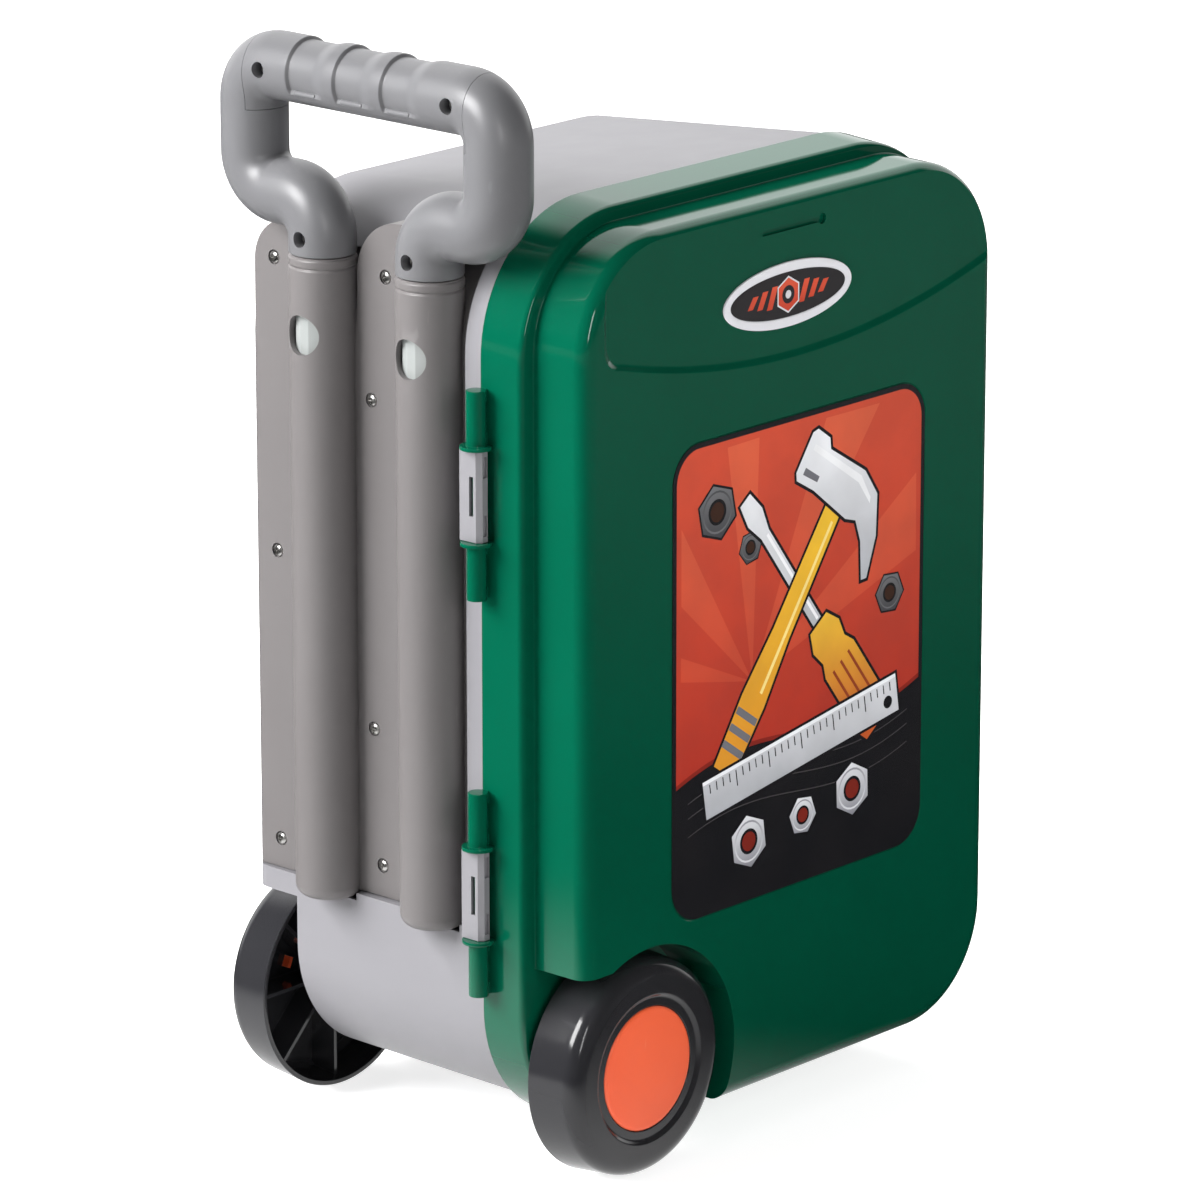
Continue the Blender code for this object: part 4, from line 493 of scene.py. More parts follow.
def start_group(
    name: str, inputs: dict[str, float | Colour], outputs: dict[str, str]
) -> tuple[NodeBoard, bpy.types.Node, bpy.types.Node]:
    """Begin a shader node group.

    Args:
        name: the group's name.
        inputs: each input with its default; a number or a colour.
        outputs: each output with its kind: Color, Float or Vector.

    Returns:
        The board to work on, and the group's input and output nodes.
    """
    tree = bpy.data.node_groups.new(name, "ShaderNodeTree")
    for label, value in inputs.items():
        kind = "Color" if isinstance(value, tuple) else "Float"
        socket = tree.interface.new_socket(label, in_out="INPUT", socket_type=f"NodeSocket{kind}")
        socket.default_value = (*value, 1.0) if isinstance(value, tuple) else value
    for label, kind in outputs.items():
        tree.interface.new_socket(label, in_out="OUTPUT", socket_type=f"NodeSocket{kind}")
    return NodeBoard(tree), tree.nodes.new("NodeGroupInput"), tree.nodes.new("NodeGroupOutput")


@cache
def grain_group() -> bpy.types.NodeTree:
    """Moulded plastic's skin: long soft ripples, a fine grain and uneven gloss."""
    inputs = {
        "Ripple Scale": 14.0,
        "Ripple Depth": 0.0002,
        "Grain Scale": 900.0,
        "Grain Depth": 0.00001,
        "Roughness": 0.3,
        "Roughness Spread": 0.08,
    }
    board, source, target = start_group("moulded_skin", inputs, {"Normal": "Vector", "Roughness": "Float"})
    given = source.outputs
    place = board.add("TexCoord").outputs["Object"]
    ripple = board.noise(place, given["Ripple Scale"], 1.0)
    grain = board.noise(place, given["Grain Scale"], 2.0)
    soft = board.add("Bump", {"Height": ripple, "Distance": given["Ripple Depth"], "Strength": 1.0})
    values = {"Height": grain, "Distance": given["Grain Depth"], "Normal": soft.outputs[0]}
    fine = board.add("Bump", values)
    patches = board.noise(place, 45.0, 4.0)
    spread = board.product(board.math("SUBTRACT", patches, 0.5), given["Roughness Spread"])
    rough = board.math("ADD", given["Roughness"], spread, clamp=True)
    board.fill(target, {"Normal": fine.outputs[0], "Roughness": rough})
    return board.tree


@cache
def wear_and_edge_highlight_group() -> bpy.types.NodeTree:
    """Light use: lighter rubbed edges, partly wear and partly a painted edge highlight, hair-fine scuffs
    and a little dust on faces that look up.
    """
    inputs = {
        "Colour": (0.5, 0.5, 0.5),
        "Rub And Highlight Colour": (0.6, 0.6, 0.6),
        "Rub And Highlight Amount": 0.3,
        "Rub And Highlight Width": 0.0006,
        "Scuffs": 0.2,
        "Dust": 0.05,
    }
    board, source, target = start_group("light_wear_and_edge_highlight", inputs, {"Colour": "Color", "Scuff Mask": "Float"})
    given = source.outputs
    place = board.add("TexCoord").outputs["Object"]
    normal = board.add("NewGeometry").outputs["Normal"]
    # The rub colour lightens the edges: partly wear, partly a painted edge highlight.
    rounded = board.add("Bevel", {"Radius": given["Rub And Highlight Width"]}, samples=4)
    dot = board.add("VectorMath", {0: rounded.outputs[0], 1: normal}, operation="DOT_PRODUCT")
    edge = board.ramp(dot.outputs["Value"], 0.99, 0.86, 0.0, 1.0)
    broken = board.ramp(board.noise(place, 60.0, 5.0, 0.6), 0.38, 0.62, 0.25, 1.0)
    rub_and_highlight = board.product(edge, broken, given["Rub And Highlight Amount"])

    stretch = {"Vector": place, "Rotation": (0.4, 0.9, 0.2), "Scale": (260.0, 9.0, 30.0)}
    lines = board.noise(board.add("Mapping", stretch).outputs[0], 1.0, 2.0, 0.7)
    hairs = board.ramp(lines, 0.66, 0.72, 0.0, 1.0)
    zones = board.ramp(board.noise(place, 11.0, 3.0), 0.52, 0.66, 0.0, 1.0)
    scuffs = board.product(hairs, zones, given["Scuffs"])

    up = board.add("SeparateXYZ", {0: normal}).outputs["Z"]
    level = board.ramp(up, 0.55, 0.98, 0.0, 1.0)
    specks = board.ramp(board.noise(place, 320.0, 4.0, 0.7), 0.55, 0.75, 0.2, 1.0)
    dust = board.product(level, specks, given["Dust"])

    worn_and_highlighted = board.mix(rub_and_highlight, given["Colour"], given["Rub And Highlight Colour"])
    scratched = board.mix(scuffs, worn_and_highlighted, given["Rub And Highlight Colour"])
    dusty = board.mix(dust, scratched, (0.55, 0.53, 0.50))
    board.fill(target, {"Colour": dusty, "Scuff Mask": board.math("ADD", scuffs, dust, clamp=True)})
    return board.tree


def new_material(name: str) -> tuple[bpy.types.Material, NodeBoard, bpy.types.Node]:
    """Start a material.

    Returns:
        The material, the board of its nodes and its Principled shader.
    """
    material = bpy.data.materials.new(name)
    material.use_nodes = True
    return material, NodeBoard(material.node_tree), material.node_tree.nodes["Principled BSDF"]


@dataclass(frozen=True)
class Plastic:
    """A moulded plastic finish: two close tones, and a lighter third on the edges, partly rubbed wear and
    partly a painted edge highlight.
    """

    name: str
    colour: Colour
    second: Colour
    rub_and_highlight: Colour
    roughness: float = 0.3
    spread: float = 0.08
    ripple: float = 0.0002
    ripple_scale: float = 14.0
    grain: float = 0.00001
    rub_and_highlight_amount: float = 0.3
    scuffs: float = 0.2
    dust: float = 0.05

    def build(self) -> bpy.types.Material:
        """Make the material."""
        material, board, shader = new_material(self.name)
        place = board.add("TexCoord").outputs["Object"]
        cloud = board.ramp(board.noise(place, 7.0, 3.0), 0.35, 0.65, 0.0, 1.0)
        # The rub colour gives the edges a painted edge highlight as well as wear.
        used = {
            "Colour": board.mix(cloud, self.colour, self.second),
            "Rub And Highlight Colour": self.rub_and_highlight,
            "Rub And Highlight Amount": self.rub_and_highlight_amount,
            "Scuffs": self.scuffs,
            "Dust": self.dust,
        }
        wear_and_highlight = board.add("Group", used, node_tree=wear_and_edge_highlight_group())
        moulded = {
            "Ripple Depth": self.ripple,
            "Ripple Scale": self.ripple_scale,
            "Grain Depth": self.grain,
            "Roughness": self.roughness,
            "Roughness Spread": self.spread,
        }
        skin = board.add("Group", moulded, node_tree=grain_group())
        rough = board.math("ADD", skin.outputs["Roughness"], board.product(wear_and_highlight.outputs["Scuff Mask"], 0.5))
        base = wear_and_highlight.outputs["Colour"]
        board.fill(shader, {"Base Color": base, "Roughness": rough, "Normal": skin.outputs["Normal"]})
        return material


@dataclass(frozen=True)
class Steel:
    """Plated steel with a drawn or turned grain."""

    name: str
    colour: Colour = (0.62, 0.61, 0.59)
    roughness: float = 0.3
    grain: Colour = (900.0, 900.0, 12.0)

    def build(self) -> bpy.types.Material:
        """Make the material."""
        material, board, shader = new_material(self.name)
        place = board.add("TexCoord").outputs["Object"]
        lines = board.add("Mapping", {"Vector": place, "Scale": self.grain}).outputs[0]
        streaks = board.noise(lines, 1.0, 3.0)
        stains = board.ramp(board.noise(place, 90.0, 4.0), 0.45, 0.75, 0.0, 0.2)
        dull = tuple(0.55 * part for part in self.colour)
        base = board.mix(stains, self.colour, dull)
        rough = board.ramp(streaks, 0.3, 0.7, self.roughness - 0.08, self.roughness + 0.12)
        bump = board.add("Bump", {"Height": streaks, "Distance": 0.000004, "Strength": 0.35}).outputs[0]
        board.fill(shader, {"Base Color": base, "Roughness": rough, "Normal": bump, "Metallic": 1.0})
        return material


@dataclass(frozen=True)
class PrintedFilm:
    """A printed sheet whose inks are kept in the mesh's colours."""

    name: str
    roughness: float = 0.22

    def build(self) -> bpy.types.Material:
        """Make the material."""
        material, board, shader = new_material(self.name)
        ink = board.add("Attribute", attribute_name=PrintSheet.INK_LAYER).outputs["Color"]
        place = board.add("TexCoord").outputs["Object"]
        tone = board.ramp(board.noise(place, 25.0, 3.0), 0.35, 0.65, 0.0, 0.12)
        faded = board.mix(tone, ink, (0.03, 0.025, 0.025))
        film = {
            "Ripple Depth": 0.00025,
            "Ripple Scale": 20.0,
            "Grain Depth": 0.000004,
            "Roughness": self.roughness,
        }
        skin = board.add("Group", film, node_tree=grain_group()).outputs
        board.fill(shader, {"Base Color": faded, "Roughness": skin["Roughness"], "Normal": skin["Normal"]})
        return material


class Finishes:
    """Every finish of the tool box, made once."""

    def __init__(self) -> None:
        """Build the materials."""
        # Each plastic's third colour lightens its edges: rubbed wear and a painted edge highlight.
        self.green = Plastic(
            "green_gloss_plastic",
            (0.0004, 0.061, 0.032),
            (0.0004, 0.065, 0.0345),
            (0.02, 0.14, 0.08),
            roughness=0.08,
            spread=0.04,
            ripple=0.0003,
            ripple_scale=9.0,
            grain=0.000002,
            rub_and_highlight_amount=0.35,
            scuffs=0.04,
            dust=0.0,
        ).build()
        self.case = Plastic(
            "case_gray_plastic",
            (0.160, 0.157, 0.168),
            (0.168, 0.165, 0.176),
            (0.28, 0.28, 0.29),
            roughness=0.42,
            dust=0.02,
        ).build()
        self.housing = Plastic(
            "housing_gray_plastic",
            (0.104, 0.097, 0.097),
            (0.110, 0.103, 0.103),
            (0.22, 0.21, 0.21),
            roughness=0.36,
        ).build()
        self.handle = Plastic(
            "handle_gray_plastic",
            (0.100, 0.100, 0.105),
            (0.107, 0.107, 0.112),
            (0.19, 0.19, 0.20),
            roughness=0.33,
        ).build()
        self.black = Plastic(
            "wheel_black_plastic",
            (0.016, 0.016, 0.018),
            (0.019, 0.019, 0.021),
            (0.09, 0.09, 0.1),
            roughness=0.13,
            dust=0.0,
            scuffs=0.1,
        ).build()
        self.orange = Plastic(
            "cap_orange_plastic",
            (0.80, 0.098, 0.028),
            (0.84, 0.115, 0.036),
            (0.9, 0.3, 0.18),
            roughness=0.38,
        ).build()
        self.pale = Plastic(
            "button_pale_plastic",
            (0.20, 0.212, 0.208),
            (0.215, 0.226, 0.222),
            (0.3, 0.31, 0.31),
            roughness=0.35,
        ).build()
        self.white = Plastic(
            "badge_white_plastic",
            (0.70, 0.69, 0.74),
            (0.73, 0.73, 0.76),
            (0.8, 0.8, 0.8),
            scuffs=0.05,
        ).build()
        self.steel = Steel("plated_steel").build()
        self.film = PrintedFilm("printed_film").build()


# Door


@dataclass
class DoorShell:
    """The green door: a deep cover on a wider flange, with brow, slot, seat, wheel well and hinge rods."""

    back: float = -0.00015
    flange: Section = Section(-0.166, 0.166, 0.0215, 0.5095, 0.073)
    cover: Section = Section(-0.1568, 0.165, 0.0265, 0.4996, 0.0600)
    flange_depth: float = 0.0277
    flange_round: float = 0.0035
    flange_round_share: float = 0.36
    cover_depth: float = 0.0348
    cover_round: float = 0.009
    cover_draft: float = 0.0005
    flange_draft: float = 0.0016
    foot_fillet: float = 0.0010
    rim_round: float = 0.0007
    wall: float = 0.003
    brow_depth: float = 0.0018
    brow_slope: float = 0.0045
    brow_height: float = 0.4205
    brow_rise: float = 0.020
    brow_centre: float = 0.004
    brow_half_width: float = 0.142
    brow_left: float = -0.139
    brow_corner: float = 0.012
    slot_low: Pair = (-0.0207, 0.4834)
    slot_high: Pair = (0.0261, 0.4866)
    slot_depth: float = 0.002
    slot_end_radius: float = 0.0030
    label: Section = Section(-0.0907, 0.1087, 0.1326, 0.3857, LABEL_CORNER)
    label_depth: float = 0.0007
    wheel_well: WheelWell = WheelWell(roof=0.1195)
    well_back: float = 0.0032
    boss_start: float = -0.03275
    boss_end: float = -0.01865
    hinge_x: float = -0.1716
    hinge_y: float = -0.00245
    rod_length: float = 0.109
    pocket_reach: float = 0.007

    @property
    def step(self) -> float:
        """Depth of the flange's front face."""
        return self.back - self.flange_depth

    @property
    def front(self) -> float:
        """Depth of the door's face."""
        return self.step - self.cover_depth

    def outer(self) -> Piece:
        """The outside, lofted from the face to the rim that meets the case."""
        rings = []
        for inset, advance in quarter_round(self.cover_round, 14):
            rings.append(self.cover.inset(inset).ring(self.front + advance))
        foot = replace(self.cover, top=self.cover.top + self.cover_draft)
        for inset, advance in reversed(quarter_round(self.foot_fillet, 4)):
            rings.append(foot.inset(-inset).ring(self.step - advance))
        lip = replace(self.flange, top=self.flange.top - self.flange_draft)
        for inset, advance in quarter_round(self.flange_round, 10):
            share = 1.0 - self.flange_round_share * inset / self.flange_round
            rings.append(self.cover.blend(lip, share).ring(self.step + advance))
        for inset, advance in reversed(quarter_round(self.rim_round, 4)):
            rings.append(self.flange.inset(inset).ring(self.back - advance))
        return loft("door_skin", rings)

    def hollow(self) -> Piece:
        """The space inside, open at the back."""
        cover = self.cover.inset(self.wall)
        flange = self.flange.inset(self.wall)
        rings = []
        for inset, advance in quarter_round(self.cover_round - self.wall, 6):
            rings.append(cover.inset(inset).ring(self.front + self.brow_depth + self.wall + advance))
        rings.append(cover.ring(self.step + self.wall))
        rings.append(flange.ring(self.step + self.wall))
        rings.append(flange.ring(self.back + OVERRUN))
        return loft("door_hollow", rings)

    def brow_outline(self, grow: float) -> list[Pair]:
        """The area above the brow's curve, grown outward by one amount."""
        left = self.brow_left - grow
        right = self.flange.right + OVERRUN
        top = self.flange.top + OVERRUN
        start = left + self.brow_corner
        points = []
        steps = 48
        for step in range(steps + 1):
            x = start + (right - start) * step / steps
            points.append((x, self.brow_curve(x) - grow))
        points += [(right, top), (left, top)]
        centre = self.brow_curve(start) - grow + self.brow_corner
        return points + arc((start, centre), self.brow_corner, math.pi, math.pi / 2, 8)[:-1]

    def brow_curve(self, x: float) -> float:
        """Height of the brow's lower edge at one place across the door."""
        return self.brow_height + self.brow_rise * ((x - self.brow_centre) / self.brow_half_width) ** 2

    def brow(self) -> Piece:
        """The tool that sinks the face above the brow's curve, with an S-shaped slope."""
        rings = [[Vector((x, self.front - 0.004, z)) for x, z in self.brow_outline(self.brow_slope)]]
        steps = 8
        for step in range(steps + 1):
            share = step / steps
            depth = self.front - 0.0001 + (self.brow_depth + 0.0001) * eased(share)
            grow = self.brow_slope * (1 - share)
            rings.append([Vector((x, depth, z)) for x, z in self.brow_outline(grow)])
        return loft("brow_tool", rings)

    def rod(self, side: int, height: float) -> Piece:
        """A hinge rod: thick ends, a disc beside the clip at each and a thin pin through it."""
        end = self.rod_length / 2
        disc = CLIP_SPAN / 2
        outer, inner = disc + 0.001, disc - 0.001
        thick, wide, thin = 0.0052, 0.0085, 0.0022
        upper = [(0.0, end), (thick, end), (thick, outer), (wide, outer), (wide, inner), (thin, inner)]
        profile = upper + [(radius, -level) for radius, level in reversed(upper)]
        place = Vector((side * self.hinge_x, self.hinge_y, height))
        return lathe("rod", softened(profile, 0.0005, 2), place, Matrix.Identity(4), 32)

    def webs(self) -> Piece:
        """The webs that tie the rods' ends to the flange."""
        corners = []
        for side in (1, -1):
            for height in HINGE_HEIGHTS:
                for end in (-1, 1):
                    for tip in (self.rod_length / 2 - 0.0033, CLIP_SPAN / 2 + 0.003):
                        middle = height + end * tip
                        xs = sorted((-side * (self.flange.right - self.wall / 2), side * self.hinge_x))
                        low = Vector((xs[0], self.hinge_y - 0.0025, middle - 0.003))
                        high = Vector((xs[1], self.hinge_y + 0.0022, middle + 0.003))
                        corners.append((low, high))
        return boxes("webs", corners)

    def pockets(self) -> Piece:
        """The room that the flange leaves round the clips."""
        corners = []
        for side in (1, -1):
            for height in HINGE_HEIGHTS:
                xs = sorted((side * self.hinge_x, side * (self.hinge_x + self.pocket_reach)))
                low = Vector((xs[0], self.hinge_y - self.pocket_reach, height - CLIP_SPAN / 2))
                high = Vector((xs[1], self.hinge_y + self.pocket_reach, height + CLIP_SPAN / 2))
                corners.append((low, high))
        return boxes("pockets", corners)

    def build(self, finishes: Finishes) -> bpy.types.Object:
        """Make the door.

        Args:
            finishes: the tool box's finishes.

        Returns:
            The finished door.
        """
        over = self.front - OVERRUN
        well_wall = prism("well_wall", self.wheel_well.outline(self.wall), over, self.step + self.well_back)
        hollow = self.hollow().cut(well_wall).bake()
        well = prism("well", self.wheel_well.outline(), over, self.step)
        (left, low), (right, high) = self.slot_low, self.slot_high
        slot_back = self.front + self.brow_depth + self.slot_depth
        slot = boxes("slot", [(Vector((left, over, low)), Vector((right, slot_back, high)))])
        bump_place = Vector((right, over, (low + high) / 2))
        bump = rods("slot_end", [(bump_place, self.slot_end_radius, slot_back - over)], Axis.Y, 24)
        steps = ((-0.0009, -OVERRUN), (-0.0009, 0.0), (-FIT_GAP, 0.0005), (-FIT_GAP, self.label_depth))
        seat = loft("label_seat", [self.label.inset(inset).ring(self.front + y) for inset, y in steps])
        boss_place = Vector((self.wheel_well.x, self.boss_start, self.wheel_well.z))
        length = self.boss_end - self.boss_start
        boss_profile = [(0.0, 0.0), (BOSS_RADIUS, 0.0), (BOSS_RADIUS, length), (0.0, length)]
        boss = lathe("boss", softened(boss_profile, 0.0006), boss_place, Axis.Y.turn(), 48)
        bore_place = boss_place - Vector((0.0, OVERRUN, 0.0))
        bore = rods("bore", [(bore_place, BORE_RADIUS, length + 2 * OVERRUN)], Axis.Y, 32)
        door = self.outer().cut(well, hollow, self.brow(), slot, bump, seat)
        door.join(boss).cut(bore, self.pockets()).join(self.webs())
        for side in (1, -1):
            for height in HINGE_HEIGHTS:
                door.join(self.rod(side, height))
        door.item.name = "door_green_shell"
        return door.dress("door", "door_green", finishes.green, ("door_shell",), sharp=28.0)


# Prints


@dataclass(frozen=True)
class Ink:
    """A printed colour that runs from a lower to an upper tone between two heights."""

    low_tone: Colour
    high_tone: Colour
    low: float = 0.0
    high: float = 1.0

    def at(self, height: float) -> Colour:
        """The colour at one height of the sheet."""
        share = min(max((height - self.low) / (self.high - self.low), 0.0), 1.0)
        return tuple(a + (b - a) * share for a, b in zip(self.low_tone, self.high_tone))


def plain(colour: Colour) -> Ink:
    """An ink of one tone."""
    return Ink(colour, colour)


def rectangle(left: float, bottom: float, right: float, top: float) -> list[Pair]:
    """Corners of an upright rectangle, counter-clockwise."""
    return [(left, bottom), (right, bottom), (right, top), (left, top)]


@dataclass(frozen=True)
class Patch:
    """A filled outline on a sheet, in metres from its lower left corner."""

    outline: tuple[Pair, ...]
    ink: Ink


class Shape:
    """Outlines for prints, each placed, turned and sized."""

    def __init__(self, centre: Pair, angle: float = 0.0, size: float = 1.0) -> None:
        """Keep where the shape goes; the angle is in degrees."""
        self.centre = centre
        self.cos = math.cos(math.radians(angle)) * size
        self.sin = math.sin(math.radians(angle)) * size

    def place(self, points: list[Pair]) -> tuple[Pair, ...]:
        """Points of the shape on the sheet."""
        across, up = self.centre
        cos, sin = self.cos, self.sin
        return tuple((across + x * cos - y * sin, up + x * sin + y * cos) for x, y in points)

    def polygon(
        self, points: list[Pair], ink: Ink, line: float = 0.0, line_ink: Ink | None = None
    ) -> list[Patch]:
        """A filled polygon, with a line round it.

        Args:
            points: its corners, counter-clockwise.
            ink: the fill.
            line: how wide the line is; nothing for no line.
            line_ink: the line's ink.

        Returns:
            The patches, lowest first.
        """
        patches = []
        if line > 0.0 and line_ink is not None:
            patches.append(Patch(self.place(grown(points, line)), line_ink))
        patches.append(Patch(self.place(points), ink))
        return patches

    def disc(
        self, radius: float, ink: Ink, sides: int = 32, across: float = 0.0, up: float = 0.0
    ) -> list[Patch]:
        """A filled circle or regular polygon."""
        points = []
        for side in range(sides):
            angle = 2 * math.pi * (side + 0.5) / sides
            points.append((across + radius * math.cos(angle), up + radius * math.sin(angle)))
        return [Patch(self.place(points), ink)]


def grown(points: list[Pair], amount: float) -> list[Pair]:
    """Move a counter-clockwise polygon's sides outward, with its corners cut to a short reach."""
    result = []
    count = len(points)
    for index, here in enumerate(points):
        before = Vector(points[index - 1])
        after = Vector(points[(index + 1) % count])
        middle = Vector(here)
        back = (middle - before).normalized()
        ahead = (after - middle).normalized()
        normal = Vector((back.y + ahead.y, -back.x - ahead.x))
        if normal.length < TINY:
            normal = Vector((back.y, -back.x))
        normal.normalize()
        cosine = max(normal.dot(Vector((back.y, -back.x))), 0.55)
        spot = middle + normal * (amount / cosine)
        result.append((spot.x, spot.y))
    return result


def counter_clockwise(points: tuple[Pair, ...]) -> list[Pair]:
    """The same outline, turned round where it runs clockwise."""
    area = 0.0
    for (x, y), (next_x, next_y) in zip(points, points[1:] + points[:1]):
        area += x * next_y - next_x * y
    return list(points) if area > 0.0 else list(reversed(points))


class PrintSheet:
    """A thin printed sheet: a flat mosaic of inks with a plain edge and back."""

    INK_LAYER = "ink"

    def __init__(
        self, name: str, outline: list[Pair], patches: list[Patch], origin: Pair, cell: float
    ) -> None:
        """Keep what to print.

        Args:
            name: the piece's name.
            outline: the sheet's edge, from its lower left corner.
            patches: the fills, lowest first.
            origin: X and Z of the lower left corner in the drawing frame.
            cell: the spacing of extra points, for soft colour changes.
        """
        self.name = name
        self.outline = outline
        self.patches = [Patch(tuple(outline), patches[0].ink), *patches]
        self.origin = origin
        self.cell = cell

    def mosaic(self) -> tuple[list[Vector], list[list[int]], list[int]]:
        """Cut the sheet into cells that each lie under one topmost patch.

        Returns:
            Points, faces and each face's patch number.
        """
        points = []
        faces = []
        for patch in self.patches:
            start = len(points)
            points += [Vector(point) for point in counter_clockwise(patch.outline)]
            faces.append(list(range(start, len(points))))
        xs = [x for x, _ in self.outline]
        ys = [y for _, y in self.outline]
        across = int((max(xs) - min(xs)) / self.cell)
        up = int((max(ys) - min(ys)) / self.cell)
        for column in range(1, across):
            for row in range(1, up):
                shift = 0.5 if row % 2 else 0.0
                points.append(Vector((min(xs) + (column + shift) * self.cell, min(ys) + row * self.cell)))
        spots, _, cells, _, _, owners = delaunay_2d_cdt(points, [], faces, 1, 1e-7)
        kept = [(cell, max(owner)) for cell, owner in zip(cells, owners) if 0 in owner]
        return spots, [cell for cell, _ in kept], [owner for _, owner in kept]

    def build(self, front: float, thickness: float) -> Piece:
        """Make the sheet's solid with its face at one depth."""
        spots, cells, owners = self.mosaic()
        bm = bmesh.new()
        layer = bm.loops.layers.float_color.new(self.INK_LAYER)
        verts = [bm.verts.new((self.origin[0] + x, front, self.origin[1] + y)) for x, y in spots]
        edge_colour = (0.02, 0.02, 0.02, 1.0)
        for cell, owner in zip(cells, owners):
            face = bm.faces.new([verts[index] for index in cell])
            for loop in face.loops:
                colour = self.patches[owner].ink.at(loop.vert.co.z - self.origin[1])
                loop[layer] = (*colour, 1.0)
        loose = [vert for vert in bm.verts if not vert.link_faces]
        bmesh.ops.delete(bm, geom=loose, context="VERTS")
        # The walls are made one by one, because Blender's own extrusion orders them differently each run.
        rim = [edge for edge in bm.edges if len(edge.link_faces) == 1]
        far = dict.fromkeys(vert for edge in rim for vert in edge.verts)
        for vert in far:
            far[vert] = bm.verts.new(vert.co + Vector((0.0, thickness, 0.0)))
        walls = [bm.faces.new((one, two, far[two], far[one])) for one, two in (edge.verts for edge in rim)]
        far_edges = [bm.edges.get((far[one], far[two])) for one, two in (edge.verts for edge in rim)]
        closed = bmesh.ops.edgeloop_fill(bm, edges=far_edges)["faces"]
        for face in [*closed, *walls]:
            for loop in face.loops:
                loop[layer] = edge_colour
        return Piece(self.name, bm)


@dataclass
class LabelArt:
    """A made-up label: a hammer and a screwdriver crossed over warm rays, above a steel rule and nuts."""

    width: float = 0.1994
    height: float = 0.2531
    border: float = 0.0028
    black: Ink = plain((0.010, 0.010, 0.012))
    line: float = 0.0013

    @property
    def sheet(self) -> Section:
        """The sheet's edge from its lower left corner."""
        return Section(0.0, self.width, 0.0, self.height, LABEL_CORNER)

    def field(self) -> list[Patch]:
        """The orange ground with its rays, inside a black border."""
        top = self.sheet.inset(self.border)
        warm = Ink((0.42, 0.030, 0.016), (0.62, 0.075, 0.034), 0.07, self.height)
        patches = [Patch(tuple(self.sheet.outline(12)), self.black)]
        patches.append(Patch(tuple(top.outline(12)), warm))
        centre = Vector((0.062, 0.118))
        rays = Ink((0.50, 0.042, 0.020), (0.70, 0.115, 0.050), 0.07, self.height)
        for start, stop in ((18, 33), (52, 66), (88, 99), (121, 137), (156, 168)):
            points = [tuple(centre)]
            for angle in (start, stop):
                reach = Vector((math.cos(math.radians(angle)), math.sin(math.radians(angle))))
                points.append(tuple(centre + reach * self.reach(centre, reach)))
            patches.append(Patch(tuple(points), rays))
        return patches

    def reach(self, centre: Vector, way: Vector) -> float:
        """How far a ray runs before it comes near the sheet's rounded edge."""
        reach = 0.0
        edge = self.sheet
        while reach < 0.4:
            spot = centre + way * (reach + 0.001)
            inside_x = edge.left + 0.006 < spot.x < edge.right - 0.006
            inside_y = edge.bottom + 0.006 < spot.y < edge.top - 0.006
            if not (inside_x and inside_y):
                return reach
            reach += 0.001
        return reach

    def ground(self) -> list[Patch]:
        """The black lower field under a rolling edge, with thin gray contour lines."""
        edge = self.sheet.inset(self.border)
        corner_points = edge.outline(12)
        points = corner_points[-13:] + corner_points[:13]
        steps = 30
        for step in range(steps + 1):
            x = edge.right + (edge.left - edge.right) * step / steps
            points.append((x, self.roll(x)))
        glow = Ink((0.16, 0.012, 0.008), (0.30, 0.020, 0.010), 0.04, 0.12)
        raised = [(x, y + 0.0024 if y > 0.03 else y) for x, y in points]
        patches = [Patch(tuple(raised), glow), Patch(tuple(points), self.black)]
        gray = plain((0.055, 0.050, 0.052))
        for level in (0.012, 0.020, 0.030):
            ribbon = []
            for step in range(25):
                x = 0.012 + (self.width - 0.024) * step / 24
                ribbon.append((x, max(self.roll(x) - level, 0.010)))
            back = [(x, y - 0.0006) for x, y in reversed(ribbon)]
            patches.append(Patch(tuple(ribbon + back), gray))
        return patches

    def roll(self, x: float) -> float:
        """Height of the black field's edge."""
        share = x / self.width
        return 0.066 + 0.030 * share + 0.010 * math.sin(share * 5.2 + 0.6)

    def hammer(self, centre: Pair, angle: float, size: float) -> list[Patch]:
        """A claw hammer, head up."""
        shape = Shape(centre, angle, size)
        wood = Ink((0.72, 0.30, 0.02), (0.90, 0.55, 0.03), 0.09, 0.21)
        steel = Ink((0.30, 0.31, 0.34), (0.86, 0.87, 0.90), 0.13, 0.235)
        dark = plain((0.16, 0.16, 0.18))
        grip = [(-0.0065, -0.070), (0.0065, -0.070), (0.0075, -0.040), (0.0055, -0.012), (0.0048, 0.050)]
        grip += [(-0.0048, 0.050), (-0.0055, -0.012), (-0.0075, -0.040)]
        head = [(-0.0265, 0.0405), (-0.0150, 0.0415), (0.0090, 0.0400), (0.0150, 0.0420), (0.0225, 0.0365)]
        head += [(0.0320, 0.0240), (0.0345, 0.0260), (0.0300, 0.0420), (0.0210, 0.0560), (0.0090, 0.0605)]
        head += [(-0.0150, 0.0590), (-0.0180, 0.0625), (-0.0265, 0.0625), (-0.0285, 0.0600)]
        head += [(-0.0285, 0.0430)]
        shine = [(-0.0245, 0.0545), (0.0080, 0.0550), (0.0190, 0.0510), (0.0180, 0.0532), (0.0080, 0.0580)]
        shine += [(-0.0245, 0.0570)]
        patches = shape.polygon(grip, wood, self.line, self.black)
        for level in (-0.062, -0.055, -0.048):
            patches += shape.polygon(rectangle(-0.0068, level, 0.0068, level + 0.003), dark)
        glint = [(0.0018, -0.036), (0.0034, -0.036), (0.0030, 0.036), (0.0016, 0.036)]
        patches += shape.polygon(glint, plain((0.95, 0.75, 0.25)))
        patches += shape.polygon(head, steel, self.line, self.black)
        patches += shape.polygon(shine, plain((0.90, 0.91, 0.93)))
        shade = [(-0.0245, 0.0440), (-0.0150, 0.0450), (-0.0150, 0.0475), (-0.0245, 0.0470)]
        patches += shape.polygon(shade, dark)
        return patches

